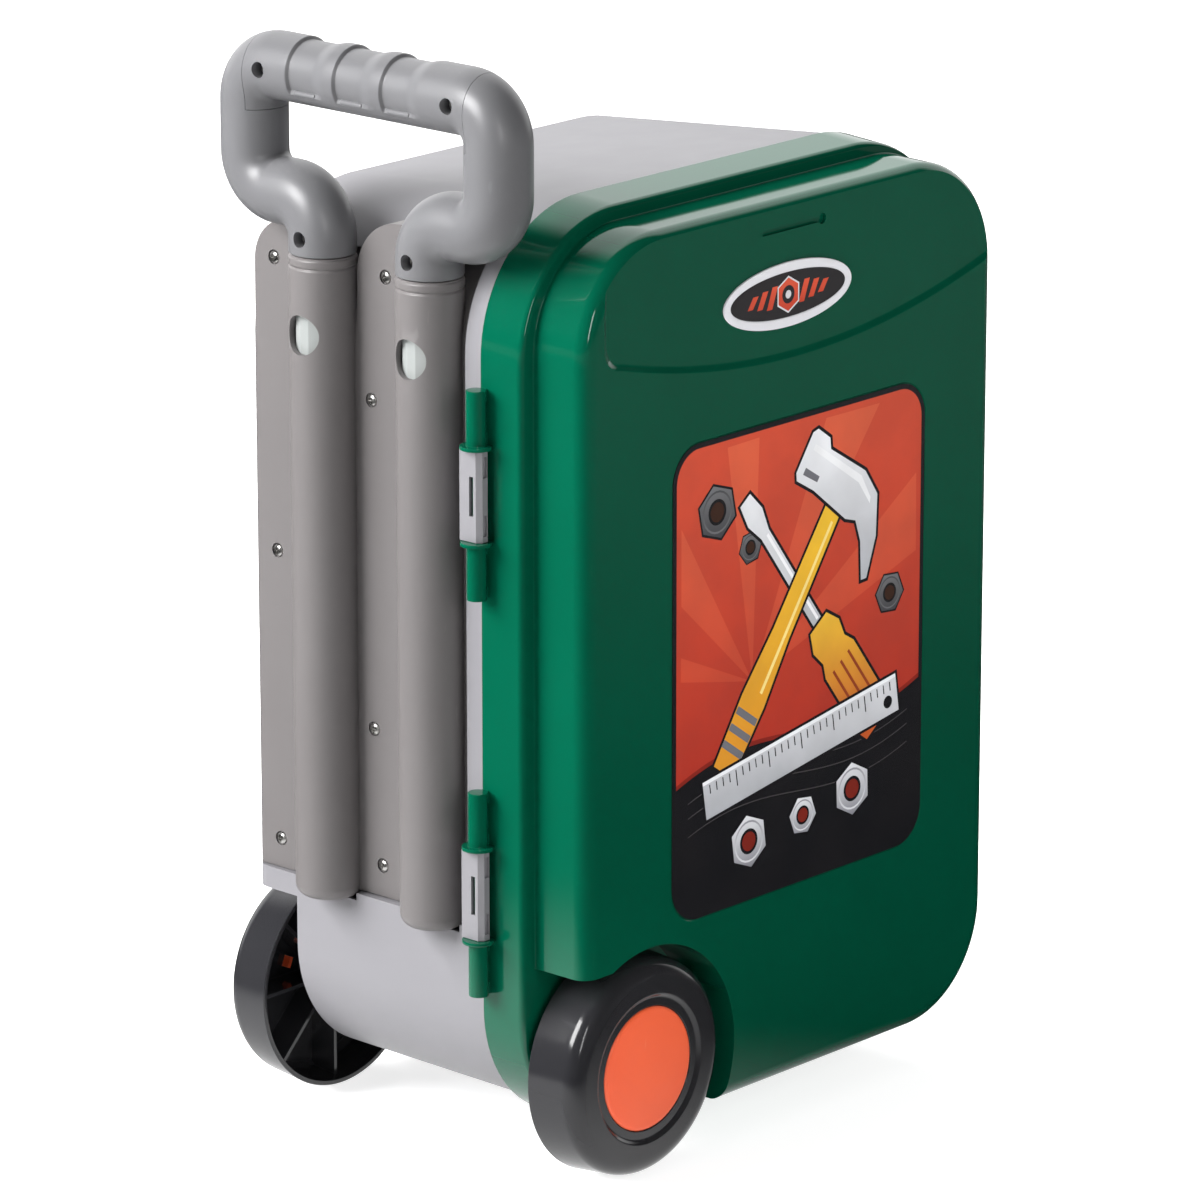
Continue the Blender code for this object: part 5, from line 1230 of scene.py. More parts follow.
    def screwdriver(self, centre: Pair, angle: float, size: float) -> list[Patch]:
        """A flat screwdriver, blade up."""
        shape = Shape(centre, angle, size)
        grip_ink = Ink((0.55, 0.10, 0.02), (0.92, 0.60, 0.04), 0.08, 0.16)
        steel = Ink((0.40, 0.41, 0.44), (0.88, 0.89, 0.92), 0.12, 0.23)
        grip = [(-0.0085, -0.070), (0.0085, -0.070), (0.0105, -0.064), (0.0105, -0.030), (0.0080, -0.024)]
        grip += [(0.0095, -0.016), (0.0060, -0.008), (-0.0060, -0.008), (-0.0095, -0.016)]
        grip += [(-0.0080, -0.024)]
        grip += [(-0.0105, -0.030), (-0.0105, -0.064)]
        shaft = [(-0.0027, -0.008), (0.0027, -0.008), (0.0027, 0.046), (0.0052, 0.056), (0.0036, 0.066)]
        shaft += [(-0.0036, 0.066), (-0.0052, 0.056), (-0.0027, 0.046)]
        patches = shape.polygon(shaft, steel, self.line, self.black)
        patches += shape.polygon(rectangle(0.0002, -0.006, 0.0016, 0.045), plain((0.93, 0.93, 0.95)))
        patches += shape.polygon(grip, grip_ink, self.line, self.black)
        for across in (-0.0062, -0.0006, 0.0050):
            stripe = rectangle(across, -0.062, across + 0.0013, -0.031)
            patches += shape.polygon(stripe, plain((0.28, 0.045, 0.012)))
        return patches

    def nut(self, centre: Pair, angle: float, size: float, bright: float = 1.0) -> list[Patch]:
        """A hexagon nut, seen from above."""
        shape = Shape(centre, angle, size)
        low = tuple(part * bright for part in (0.22, 0.22, 0.25))
        high = tuple(part * bright for part in (0.78, 0.79, 0.82))
        reach = centre[1]
        face = Ink(low, high, reach - 0.014 * size, reach + 0.014 * size)
        back = Ink(high, low, reach - 0.014 * size, reach + 0.014 * size)
        core = plain((0.20 * bright, 0.018, 0.010))
        rings = ((0.0152, self.black, 6), (0.0138, face, 6), (0.0108, back, 24), (0.0098, face, 24))
        rings += ((0.0066, self.black, 24), (0.0050, core, 24))
        return [patch for radius, ink, sides in rings for patch in shape.disc(radius, ink, sides)]

    def rule(self, centre: Pair, angle: float) -> list[Patch]:
        """A steel rule with unnumbered marks."""
        shape = Shape(centre, angle)
        steel = Ink((0.36, 0.37, 0.40), (0.74, 0.75, 0.78), centre[1] - 0.03, centre[1] + 0.03)
        half = 0.078
        patches = shape.polygon(rectangle(-half, -0.0105, half, 0.0105), steel, 0.0016, self.black)
        patches += shape.polygon(rectangle(-half, 0.0085, half, 0.0105), plain((0.88, 0.89, 0.92)))
        count = 30
        for mark in range(1, count):
            across = -half + 2 * half * mark / count
            length = 0.0090 if mark % 5 == 0 else 0.0050
            tick = rectangle(across - 0.0004, 0.0075 - length, across + 0.0004, 0.0075)
            patches += shape.polygon(tick, self.black)
        patches += shape.disc(0.0035, self.black, 20, half - 0.008, -0.003)
        return patches

    def patches(self) -> list[Patch]:
        """The whole picture, lowest first."""
        picture = self.field() + self.ground()
        picture += self.nut((0.034, 0.214), 12.0, 1.05, 0.22)
        picture += self.nut((0.060, 0.190), 40.0, 0.62, 0.22)
        picture += self.nut((0.172, 0.142), 25.0, 0.80, 0.22)
        picture += self.screwdriver((0.108, 0.146), 37.0, 1.32)
        picture += self.hammer((0.094, 0.152), -35.0, 1.36)
        picture += self.rule((0.102, 0.074), 9.0)
        picture += self.nut((0.060, 0.032), 8.0, 1.05)
        picture += self.nut((0.103, 0.036), 22.0, 0.78)
        picture += self.nut((0.143, 0.041), 2.0, 1.05)
        return picture

    def build(self, finishes: Finishes, door: DoorShell) -> bpy.types.Object:
        """Make the label's sheet."""
        outline = self.sheet.outline(12)
        corner = (door.label.left, door.label.bottom)
        sheet = PrintSheet("front_label_print", outline, self.patches(), corner, 0.006)
        return sheet.build(door.front, 0.0004).dress("door", "label_print", finishes.film, ("front_label",))


@dataclass
class Badge:
    """The oval badge: a white rim round a dark printed field with one nut and slanted bars beside it."""

    centre: Pair = (-0.0015, 0.4503)
    half: Pair = (0.050, 0.017)
    rim: float = 0.0050
    thickness: float = 0.001

    def oval(self, inset: float, steps: int = 96) -> list[Pair]:
        """An ellipse round the badge's centre."""
        points = []
        for step in range(steps):
            angle = 2 * math.pi * step / steps
            x = self.centre[0] + (self.half[0] - inset) * math.cos(angle)
            points.append((x, self.centre[1] + (self.half[1] - inset) * math.sin(angle)))
        return points

    def build(self, finishes: Finishes, door: DoorShell) -> list[bpy.types.Object]:
        """Make the badge's plate and its print."""
        panel = door.front + door.brow_depth - FIT_GAP
        front = panel - self.thickness
        stations = [(panel, 0.0)]
        stations += [(front + advance, inset) for inset, advance in reversed(quarter_round(0.0005, 4))]
        stations += [(front, self.rim - 0.0008), (front + 0.00012, self.rim - 0.0002)]
        stations += [(front + 0.0004, self.rim), (front + 0.0004, self.rim + 0.002)]
        rings = [[Vector((x, depth, z)) for x, z in self.oval(inset)] for depth, inset in stations]
        plate = loft("badge_white_plate", rings)
        shown_plate = plate.dress("door", "badge_white", finishes.white, ("badge_plate",))
        corner = (self.centre[0] - self.half[0], self.centre[1] - self.half[1])
        outline = [(x - corner[0], z - corner[1]) for x, z in self.oval(self.rim + 0.0002)]
        dark = plain((0.026, 0.024, 0.026))
        light = plain((0.70, 0.70, 0.72))
        orange = Ink((0.55, 0.055, 0.025), (0.74, 0.10, 0.045), 0.01, 0.024)
        patches = [Patch(tuple(outline), dark)]
        middle = Shape(self.half)
        rings = ((0.0098, light, 6), (0.0088, orange, 6), (0.0048, dark, 32), (0.0022, light, 24))
        for radius, ink, sides in rings:
            patches += middle.disc(radius, ink, sides)
        lean = 0.0022
        for side in (-1, 1):
            for index in range(3):
                near = side * (0.0125 + 0.0075 * index)
                tall = 0.0058 - 0.0013 * index
                bar = [(near - 0.0021 - lean, -tall), (near + 0.0021 - lean, -tall)]
                bar += [(near + 0.0021 + lean, tall), (near - 0.0021 + lean, tall)]
                patches += middle.polygon(bar, orange)
        sheet = PrintSheet("badge_print", outline, patches, corner, 0.008)
        shown = sheet.build(front + 0.0002, 0.00015).dress("door", "label_print", finishes.film)
        return [shown_plate, shown]


# Wheels


@dataclass
class Wheel:
    """One wheel, its cap and the ribs of its open side; outward is -1 in front and 1 behind."""

    end: str
    outward: int
    inner: float
    body: str
    x: float = WHEEL_X
    radius: float = 0.060
    width: float = 0.0305
    tread_taper: float = 0.002
    shoulder: float = 0.010
    wall: float = 0.0028
    step_radius: float = 0.040
    cap_radius: float = 0.033
    pocket: float = 0.0045
    hub: float = 0.010
    bore: float = 0.0044
    face_wall: float = 0.003
    cap_thickness: float = 0.0022
    ribs: int = 8

    @property
    def turn(self) -> Matrix:
        """The rotation that stands the wheel on its tread."""
        return Matrix.Rotation(-self.outward * math.pi / 2, 4, "X")

    @property
    def place(self) -> Vector:
        """Where the wheel's open side lies on its axle."""
        return Vector((self.x, self.inner, self.radius))

    def profile(self) -> list[Pair]:
        """The wheel's section: height zero is its open inner side and the top its outer face."""
        tread = self.radius - self.tread_taper
        pocket = self.width - self.pocket
        floor = pocket - self.face_wall
        points = [(self.cap_radius + FIT_GAP, pocket)]
        points += softened(
            [
                (self.cap_radius + FIT_GAP, pocket + 0.001),
                (self.cap_radius + FIT_GAP, self.width - 0.0016),
                (self.step_radius - 0.002, self.width - 0.0016),
                (self.step_radius, self.width),
                (tread - self.shoulder - 0.001, self.width),
            ],
            0.0006,
        )
        for inset, advance in quarter_round(self.shoulder, 14):
            points.append((tread - inset, self.width - advance))
        points += softened(
            [
                (tread + 0.0002, self.width - self.shoulder - 0.002),
                (self.radius, 0.0),
                (self.radius - self.wall, 0.0),
                (tread - self.wall, floor - self.wall),
                (tread - 2 * self.wall, floor),
                (self.hub, floor),
                (self.hub, 0.0012),
                (self.bore, 0.0012),
                (self.bore, pocket),
            ],
            0.0008,
        )
        return points

    def rib_tool(self, floor: float) -> Piece:
        """Radial ribs between the hub and the tread on the open side."""
        bm = bmesh.new()
        start = self.hub - self.wall
        stop = self.radius - self.tread_taper - self.wall / 2
        for index in range(self.ribs):
            turn = Matrix.Rotation(2 * math.pi * index / self.ribs, 4, "Z")
            tall = floor + 0.0015 - 0.006
            spread = Matrix.Diagonal((stop - start, 0.002, tall, 1.0))
            middle = Matrix.Translation(Vector(((start + stop) / 2, 0.0, 0.006 + tall / 2)))
            bmesh.ops.create_cube(bm, size=1.0, matrix=turn @ middle @ spread)
        bm.transform(Matrix.Translation(self.place) @ self.turn)
        return Piece("ribs", bm)

    def prongs(self, grow: float, low: float, high: float) -> Piece:
        """The cap's prongs, or the slots for them, midway between ribs."""
        bm = bmesh.new()
        for index in range(4):
            turn = Matrix.Rotation(math.pi / 2 * index + math.pi / self.ribs, 4, "Z")
            spread = Matrix.Diagonal((self.cap_thickness + 2 * grow, 0.006 + 2 * grow, high - low, 1.0))
            middle = Matrix.Translation(Vector((0.022, 0.0, (low + high) / 2)))
            bmesh.ops.create_cube(bm, size=1.0, matrix=turn @ middle @ spread)
        bm.transform(Matrix.Translation(self.place) @ self.turn)
        return Piece("prongs", bm)

    def build(self, finishes: Finishes) -> list[bpy.types.Object]:
        """Make the wheel and its cap."""
        floor = self.width - self.pocket - self.face_wall
        wheel = lathe(f"{self.end}_wheel_black", self.profile(), self.place, self.turn, 112, closed=True)
        wheel.join(self.rib_tool(floor)).cut(self.prongs(FIT_GAP, floor - OVERRUN, self.width))
        shown = wheel.dress(self.body, "wheel_black", finishes.black, (f"{self.end}_wheel",), sharp=30.0)
        edge = self.width - 0.0004
        back = edge - self.cap_thickness
        cap_line = [(0.0, edge), (0.018, edge - 0.0001), (self.cap_radius - 0.0012, edge - 0.0005)]
        cap_line += [(self.cap_radius, edge - 0.0014), (self.cap_radius, back), (0.0, back)]
        cap_line = [cap_line[0], *softened(cap_line, 0.0012, 4)[1:]]
        cap = lathe(f"{self.end}_cap_orange", cap_line, self.place, self.turn, 96)
        cap.join(self.prongs(0.0, floor - 0.004, back + 0.0011))
        capped = cap.dress(self.body, "cap_orange", finishes.orange, (f"{self.end}_wheel_cap",), sharp=30.0)
        return [shown, capped]


# Handle


@dataclass
class Handle:
    """The pull-out handle: two S-bent arms and a grooved grip."""

    axis_x: float = TUBE_X
    radius: float = 0.0175
    depths: Pair = TUBE_DEPTHS
    middle: float = 0.0739
    arm_spacing: float = 0.169
    base: float = 0.4738
    run: float = 0.5015
    grip_height: float = 0.5665
    bend: float = 0.0195
    grip_length: float = 0.152
    groove_pitch: float = 0.0325
    groove_length: float = 0.0275
    groove_depth: float = 0.0018
    bar_drop: float = 0.0093
    screw_spacing: float = 0.130
    sides: int = 72

    @property
    def underside(self) -> float:
        """Height of the grip's lowest cut."""
        return self.grip_height - self.radius - self.bend / 4

    def corners(self, depth: float, sign: int) -> list[Pair]:
        """Centre line of one half as Y and Z, from a tube's top to the middle of the grip."""
        arm = self.middle + sign * self.arm_spacing / 2
        return [
            (depth, self.base),
            (depth, self.run),
            (arm, self.run),
            (arm, self.grip_height),
            (self.middle, self.grip_height),
        ]

    def bent(self, corners: list[Pair]) -> list[Vector]:
        """A line through corners with each inner corner rounded by an arc."""
        spots = [Vector(corner) for corner in corners]
        points = [spots[0]]
        for before, corner, after in zip(spots, spots[1:], spots[2:]):
            back = (before - corner).normalized()
            ahead = (after - corner).normalized()
            centre = corner + (back + ahead) * self.bend
            steps = 16
            for step in range(steps + 1):
                angle = math.pi / 2 * step / steps
                aside = back * self.bend * math.sin(angle)
                points.append(centre - ahead * self.bend * math.cos(angle) - aside)
        points.append(spots[-1])
        return points

    def sweep(self, name: str, path: list[tuple[Vector, float]], lip: float = -2.0) -> Piece:
        """A round bar along a path in the handle's plane, each point with its own radius.

        Args:
            name: the piece's name.
            path: Y and Z of each point, with the radius there.
            lip: how low the smaller radii reach, as a share of the radius; below it the bar keeps its size.

        Returns:
            The bar.
        """
        rings = []
        for index, (spot, radius) in enumerate(path):
            before = path[max(index - 1, 0)][0]
            after = path[min(index + 1, len(path) - 1)][0]
            along = (after - before).normalized()
            ring = []
            for side in range(self.sides):
                angle = 2 * math.pi * side / self.sides
                reach = radius if math.sin(angle) > lip else self.radius
                out = reach * math.sin(angle)
                across = self.axis_x + reach * math.cos(angle)
                ring.append(Vector((across, spot.x - along.y * out, spot.y + along.x * out)))
            rings.append(ring)
        return loft(name, rings)

    def block(self, name: str, low_y: float, high_y: float, low_z: float, high_z: float) -> Piece:
        """A box across the handle's plane."""
        reach = 2 * self.radius
        low = Vector((self.axis_x - reach, low_y, low_z))
        return boxes(name, [(low, Vector((self.axis_x + reach, high_y, high_z)))])

    def screw_room(self, depth: float, height: float) -> list[Piece]:
        """The round seat of a screw and the hole below it."""
        face = self.axis_x - self.radius
        start = Vector((face - OVERRUN, depth, height))
        seat = rods("seat", [(start, 0.0042, OVERRUN + 0.007)], Axis.X, 32)
        hole = rods("hole", [(Vector((face + 0.0067, depth, height)), 0.0018, 0.0056)], Axis.X, 16)
        return [seat, hole]

    def arm(self, depth: float, sign: int, word: str, finishes: Finishes) -> bpy.types.Object:
        """One arm, cut square where the grip starts."""
        line = self.bent(self.corners(depth, sign))
        foot = [(line[0], self.radius - 0.0010), (line[0] + Vector((0.0, 0.0003)), self.radius - 0.0003)]
        foot.append((line[0] + Vector((0.0, 0.0010)), self.radius))
        arm = self.sweep(f"handle_arm_{word}_bar", foot + [(spot, self.radius) for spot in line[1:]])
        near = self.middle + sign * (self.grip_length / 2 + FIT_GAP)
        far = self.middle - sign * OVERRUN
        top = self.grip_height + self.radius + OVERRUN
        arm.cut(self.block("end", min(near, far), max(near, far), self.underside - FIT_GAP, top))
        socket_place = Vector((self.axis_x, depth, self.base - OVERRUN))
        arm.cut(rods("socket", [(socket_place, 0.0073, OVERRUN + 0.0203)], Axis.Z, 32))
        arm.cut(*self.screw_room(depth, self.base + 0.009))
        return arm.dress("handle", "handle_gray", finishes.handle, (f"handle_arm_{word}",))

    def groove_points(self) -> list[tuple[Vector, float]]:
        """Points along the grip from front to rear, with the radius at each."""
        low = self.radius - self.groove_depth
        points = []
        for index in range(3):
            rear = self.middle + (index - 1) * self.groove_pitch + self.groove_length / 2
            front = rear - self.groove_length
            points.append((front - 0.0006, self.radius))
            steps = 12
            for step in range(steps + 1):
                share = step / steps
                y = front + self.groove_length * 0.40 * share
                points.append((y, self.radius + (low - self.radius) * eased(share)))
            points.append((rear - 0.0024, low))
            for step in range(1, 6):
                share = step / 5
                points.append((rear - 0.0020 + 0.0020 * share, low + (self.radius - low) * eased(share)))
        return [(Vector((y, self.grip_height)), radius) for y, radius in points]

    def grip(self, finishes: Finishes) -> bpy.types.Object:
        """The grip: the handle's top stretch with three finger grooves and small raised bars."""
        front = self.bent(self.corners(self.depths[0], -1)[2:])[:-1]
        rear = self.bent(self.corners(self.depths[1], 1)[2:])[:-1]
        path = [(spot, self.radius) for spot in front]
        path += self.groove_points()
        path += [(spot, self.radius) for spot in reversed(rear)]
        grip = self.sweep("handle_grip_bar", path, lip=-self.bar_drop / self.radius)
        half = self.grip_length / 2
        reach = self.arm_spacing / 2 + self.radius + OVERRUN
        base = self.run - OVERRUN
        top = self.grip_height + self.radius + OVERRUN
        grip.cut(self.block("front_end", self.middle - reach, self.middle - half, base, top))
        grip.cut(self.block("rear_end", self.middle + half, self.middle + reach, base, top))
        grip.cut(self.block("below", self.middle - reach, self.middle + reach, base, self.underside))
        out = math.sqrt(self.radius**2 - self.bar_drop**2)
        for index in range(3):
            rear_y = self.middle + (index - 1) * self.groove_pitch + self.groove_length / 2 - 0.0032
            place = Vector((self.axis_x - out + 0.0016, rear_y - 0.0150, self.grip_height - self.bar_drop))
            line = [(0.0, 0.0), (0.0016, 0.0), (0.0016, 0.0150), (0.0, 0.0150)]
            grip.join(lathe("bar", softened(line, 0.0012, 3), place, Axis.Y.turn(), 20))
        for sign in (-1, 1):
            grip.cut(*self.screw_room(self.middle + sign * self.screw_spacing / 2, self.grip_height))
        return grip.dress("handle", "handle_gray", finishes.handle, ("handle_grip",))

    def build(self, finishes: Finishes) -> list[bpy.types.Object]:
        """Make the arms and the grip."""
        made = [self.grip(finishes)]
        for depth, sign, word in zip(self.depths, (-1, 1), ("front", "rear")):
            made.append(self.arm(depth, sign, word, finishes))
        return made


# Case and small parts


@dataclass
class CaseShell:
    """The gray case, open in front, with the rear wheel's well and the recess for the handle's housing."""

    front: Section = Section(-0.164, 0.164, 0.0255, 0.5085, 0.072)
    back: Section = Section(-0.16, 0.16, 0.0255, 0.4948, 0.072)
    front_y: float = 0.00015
    back_y: float = 0.16785
    back_round: float = 0.008
    wall: float = 0.0025
    wheel_well: WheelWell = WheelWell(roof=0.1225)
    well_front: float = 0.1373
    boss_start: float = 0.1288
    boss_end: float = 0.1571
    plate_depths: Pair = (0.0124, 0.1655)
    plate_base: float = 0.1345
    plate_drop: float = 0.026
    plate_sinks: Pair = (0.0063, 0.00245)
    plate_thickness: float = 0.003
    tube_x: float = TUBE_X
    tube_depths: Pair = TUBE_DEPTHS
    tube_radius: float = 0.0177
    tube_base: float = 0.1305
    disc_x: float = 0.1716
    disc_y: float = -0.00245
    disc_radius: float = 0.0089
    disc_room: float = 0.0026
    foot_x: float = 0.078
    foot_depths: Pair = (0.045, 0.135)

    def at(self, depth: float) -> Section:
        """The case's outline at one depth."""
        return self.front.blend(self.back, (depth - self.front_y) / (self.back_y - self.front_y))

    def sink(self, depth: float) -> float:
        """How far the housing's plate lies under the case's side at one depth."""
        share = (depth - self.plate_depths[0]) / (self.plate_depths[1] - self.plate_depths[0])
        return self.plate_sinks[0] + share * (self.plate_sinks[1] - self.plate_sinks[0])

    def plate_face(self, depth: float, height: float) -> float:
        """X of the plate's outer face at a depth and height."""
        return self.at(depth).inset(self.sink(depth)).left_edge(height)

    def band(self, name: str, outer: float | None, inner: float, growth: float) -> Piece:
        """The room of the housing's plate.

        Args:
            name: the piece's name.
            outer: how far it reaches out of the case, or None to stop at the plate's face.
            inner: how deep it reaches under the plate's face.
            growth: how much wider it is than the plate on all sides.

        Returns:
            The strip, which follows the case's side round its top corner.
        """
        rings = []
        steps = 28
        for depth in (self.plate_depths[0] - growth, self.plate_depths[1] + growth):
            section = self.at(depth)
            outside = section.inset(self.sink(depth) if outer is None else -outer)
            inside = section.inset(self.sink(depth) + inner)
            bend = section.top - section.corner
            top = section.top - self.plate_drop + growth
            heights = [self.plate_base - growth]
            heights += [bend + (top - bend) * step / steps for step in range(steps + 1)]
            ring = [Vector((outside.left_edge(height), depth, height)) for height in heights]
            ring += [Vector((inside.left_edge(height), depth, height)) for height in reversed(heights)]
            rings.append(ring)
        return loft(name, rings)

    def outer(self) -> Piece:
        """The outside, with a softened rim and a round back edge."""
        rings = []
        for inset, advance in quarter_round(0.0006, 3):
            rings.append(self.front.inset(inset).ring(self.front_y + advance))
        for inset, advance in reversed(quarter_round(self.back_round)):
            depth = self.back_y - advance
            rings.append(self.at(depth).inset(inset).ring(depth))
        return loft("case_gray_shell", rings)

    def hollow(self) -> Piece:
        """The space inside, open to the front."""
        inner = self.front.inset(self.wall)
        rings = [inner.ring(self.front_y - OVERRUN), inner.ring(self.front_y)]
        for inset, advance in reversed(quarter_round(self.back_round - self.wall, 6)):
            depth = self.back_y - self.wall - advance
            rings.append(self.at(depth).inset(self.wall + inset).ring(depth))
        return loft("case_hollow", rings)

    def well(self, growth: float) -> Piece:
        """The rear wheel's well, grown by one amount."""
        outline = self.wheel_well.outline(growth)
        return prism(f"well_{growth}", outline, self.well_front - growth, self.back_y + OVERRUN)

    def build(self, finishes: Finishes) -> bpy.types.Object:
        """Make the case."""
        recess = self.band("recess", OVERRUN, self.plate_thickness + FIT_GAP, FIT_GAP)
        depth = self.plate_thickness + FIT_GAP + self.wall
        recess_wall = self.band("recess_wall", OVERRUN, depth, FIT_GAP + self.wall)
        hollow = self.hollow().cut(self.well(self.wall), recess_wall).bake()
        shell = self.outer().cut(self.well(0.0), recess, hollow)
        boss_place = Vector((self.wheel_well.x, self.boss_start, self.wheel_well.z))
        length = self.boss_end - self.boss_start
        shell.join(rods("boss", [(boss_place, BOSS_RADIUS, length)], Axis.Y, 48))
        bore_place = boss_place - Vector((0.0, OVERRUN, 0.0))
        shell.cut(rods("bore", [(bore_place, BORE_RADIUS, length + 2 * OVERRUN)], Axis.Y, 32))
        notches = []
        for side in (-1, 1):
            for height in HINGE_HEIGHTS:
                for end in (-1, 1):
                    low = height + end * CLIP_SPAN / 2 - self.disc_room / 2
                    place = Vector((side * self.disc_x, self.disc_y, low))
                    notches.append((place, self.disc_radius, self.disc_room))
        sockets = []
        for depth in self.tube_depths:
            place = Vector((self.tube_x, depth, self.tube_base - FIT_GAP))
            sockets.append((place, self.tube_radius + 0.0004, self.front.top))
        feet = []
        for depth in self.foot_depths:
            feet.append((Vector((self.foot_x, depth, self.front.bottom - self.wall)), 0.0043, 0.0075))
        shell.cut(rods("notches", notches, Axis.Z, 40), rods("sockets", sockets, Axis.Z, 64))
        shell.cut(rods("feet", feet, Axis.Z, 24))
        return shell.dress("case", "case_gray", finishes.case, ("case_shell",), sharp=30.0)


@dataclass
class Housing:
    """The handle's housing: a bent plate with two half-round tube covers, their collars and windows."""

    case: CaseShell
    blank: float = 0.006
    top: float = 0.4735
    wall: float = 0.003
    foot_round: float = 0.007
    rim_drop: float = 0.0048
    rim: float = 0.0012
    rim_step: float = 0.0007
    collar: float = 0.004
    collar_radius: float = 0.0074
    window_radius: float = 0.0105
    window_height: float = 0.433
    window_reach: float = 0.012
    shoulder_tops: Pair = (0.4945, 0.4845)
    shoulder_corners: Pair = (0.030, 0.024)
    shoulder_ends: Pair = (0.0925, 0.1652)
    arm_room: float = 0.0191
    high_screws: tuple[int, int] = (0, 3)

    def flat_face(self, depth: float) -> float:
        """X of the plate's flat outer face at one depth."""
        return self.case.at(depth).left + self.case.sink(depth)

    def screw_face(self, index: int) -> float:
        """X of the face that one screw sits in."""
        depth, height = self.screws[index]
        return self.flat_face(depth) if index in self.high_screws else self.case.plate_face(depth, height)

    def shoulder_mask(self, index: int) -> Piece:
        """One shoulder's outline seen from the side, with its far upper corner rounded."""
        axis = self.case.tube_depths[index]
        far = self.shoulder_ends[index]
        top = self.shoulder_tops[index]
        corner = self.shoulder_corners[index]
        cover_side = axis + self.case.tube_radius - 0.0014
        arm_side = axis + self.arm_room
        points = [(cover_side, 0.40), (far, 0.40)]
        points += arc((far - corner, top - corner), corner, 0.0, math.pi / 2, 14)
        points += [(arm_side, top), (arm_side, self.top - 0.0013), (cover_side, self.top - 0.0013)]
        rings = [[Vector((x, depth, height)) for depth, height in points] for x in (-0.19, -0.09)]
        return loft(f"shoulder_mask_{index}", rings)

    def shoulder(self, index: int) -> Piece:
        """The flat part of the plate that stands proud of the case's round corner beside a tube."""
        case = self.case
        steps = 10
        rings = []
        for depth in (case.tube_depths[index], self.shoulder_ends[index] + 0.002):
            section = case.at(depth)
            face = self.flat_face(depth)
            bend = section.top - section.corner
            joint = section.top - case.plate_drop
            high = section.top - 0.005
            points = [(face + 0.0015, bend - 0.006), (face, bend + 0.0008), (face, high)]
            for step in range(steps + 1):
                height = high + (joint + 0.0004 - high) * step / steps
                points.append((section.left_edge(height) - FIT_GAP, height))
            for step in range(steps + 1):
                height = joint - 0.0004 + (bend + 0.006 - joint) * step / steps
                points.append((case.plate_face(depth, height) + 0.0014, height))
            rings.append([Vector((x, depth, height)) for x, height in points])
        return loft(f"shoulder_{index}", rings).keep_inside(self.shoulder_mask(index)).bevel(0.0006).bake()

    @property
    def screws(self) -> tuple[Pair, ...]:
        """Depth and height of each screw."""
        return (
            (0.1514, 0.4635),
            (0.1514, 0.3074),
            (0.1514, 0.1505),
            (0.0728, 0.4655),
            (0.0834, 0.3995),
            (0.0834, 0.2245),
            (0.0780, 0.1515),
        )

    def cover_line(self) -> list[Pair]:
        """A tube cover's outline from its top, with a rim bead over a fine groove, to its round foot."""
        radius = self.case.tube_radius
        step = radius - self.rim_step
        low = self.top - self.rim_drop
        points = [(step - 0.0006, self.top), (step, self.top - 0.0004)]
        bead = [(step, self.top - 0.0008), (radius, self.top - 0.0016), (radius, low), (step, low - 0.0006)]
        bead += [(step, low - self.rim), (radius, low - self.rim - self.rim_step), (radius, low - 0.012)]
        points += softened(bead, 0.0005, 3)
        for inset, advance in reversed(quarter_round(self.foot_round, 10)):
            points.append((radius - inset, self.case.tube_base + advance))
        return [(0.0, self.top), *points, (0.0, self.case.tube_base)]

    def build(self, finishes: Finishes) -> bpy.types.Object:
        """Make the housing."""
        case = self.case
        plate = case.band("handle_housing_plate", None, self.blank, 0.0).bevel(0.0006).bake()
        plate.join(self.shoulder(0), self.shoulder(1))
        rings = []
        for depth in (case.plate_depths[0] - OVERRUN / 2, case.plate_depths[1] + OVERRUN / 2):
            rings.append(case.at(depth).inset(case.sink(depth) + case.plate_thickness).ring(depth, 48))
        channels = []
        collars = []
        windows = []
        for depth in case.tube_depths:
            place = Vector((case.tube_x, depth, 0.0))
            plate.join(lathe(f"cover_{depth}", self.cover_line(), place, Matrix.Identity(4), 96))
            low = Vector((case.tube_x, depth, case.tube_base + self.wall))
            high = self.top - self.collar
            channels.append((low, case.tube_radius - self.wall, high - low.z))
            collars.append((Vector((case.tube_x, depth, high - self.collar)), self.collar_radius, 0.012))
            start = Vector((case.tube_x - case.tube_radius - OVERRUN, depth, self.window_height))
            windows.append((start, self.window_radius, OVERRUN + self.window_reach))
        seats = []
        holes = []
        for index, (depth, height) in enumerate(self.screws):
            face = self.screw_face(index)
            bent = case.plate_face(depth, height)
            seats.append((Vector((face - OVERRUN, depth, height)), 0.0040, OVERRUN + 0.0012))
            holes.append((Vector((face, depth, height)), 0.0018, 0.009 + bent - face))
        plate.cut(loft("core", rings), rods("channels", channels, Axis.Z, 64))
        plate.cut(rods("collars", collars, Axis.Z, 48), rods("windows", windows, Axis.X, 64))
        plate.cut(rods("seats", seats, Axis.X, 32), rods("holes", holes, Axis.X, 16))
        return plate.dress("case", "housing_gray", finishes.housing, ("handle_housing",), sharp=30.0)


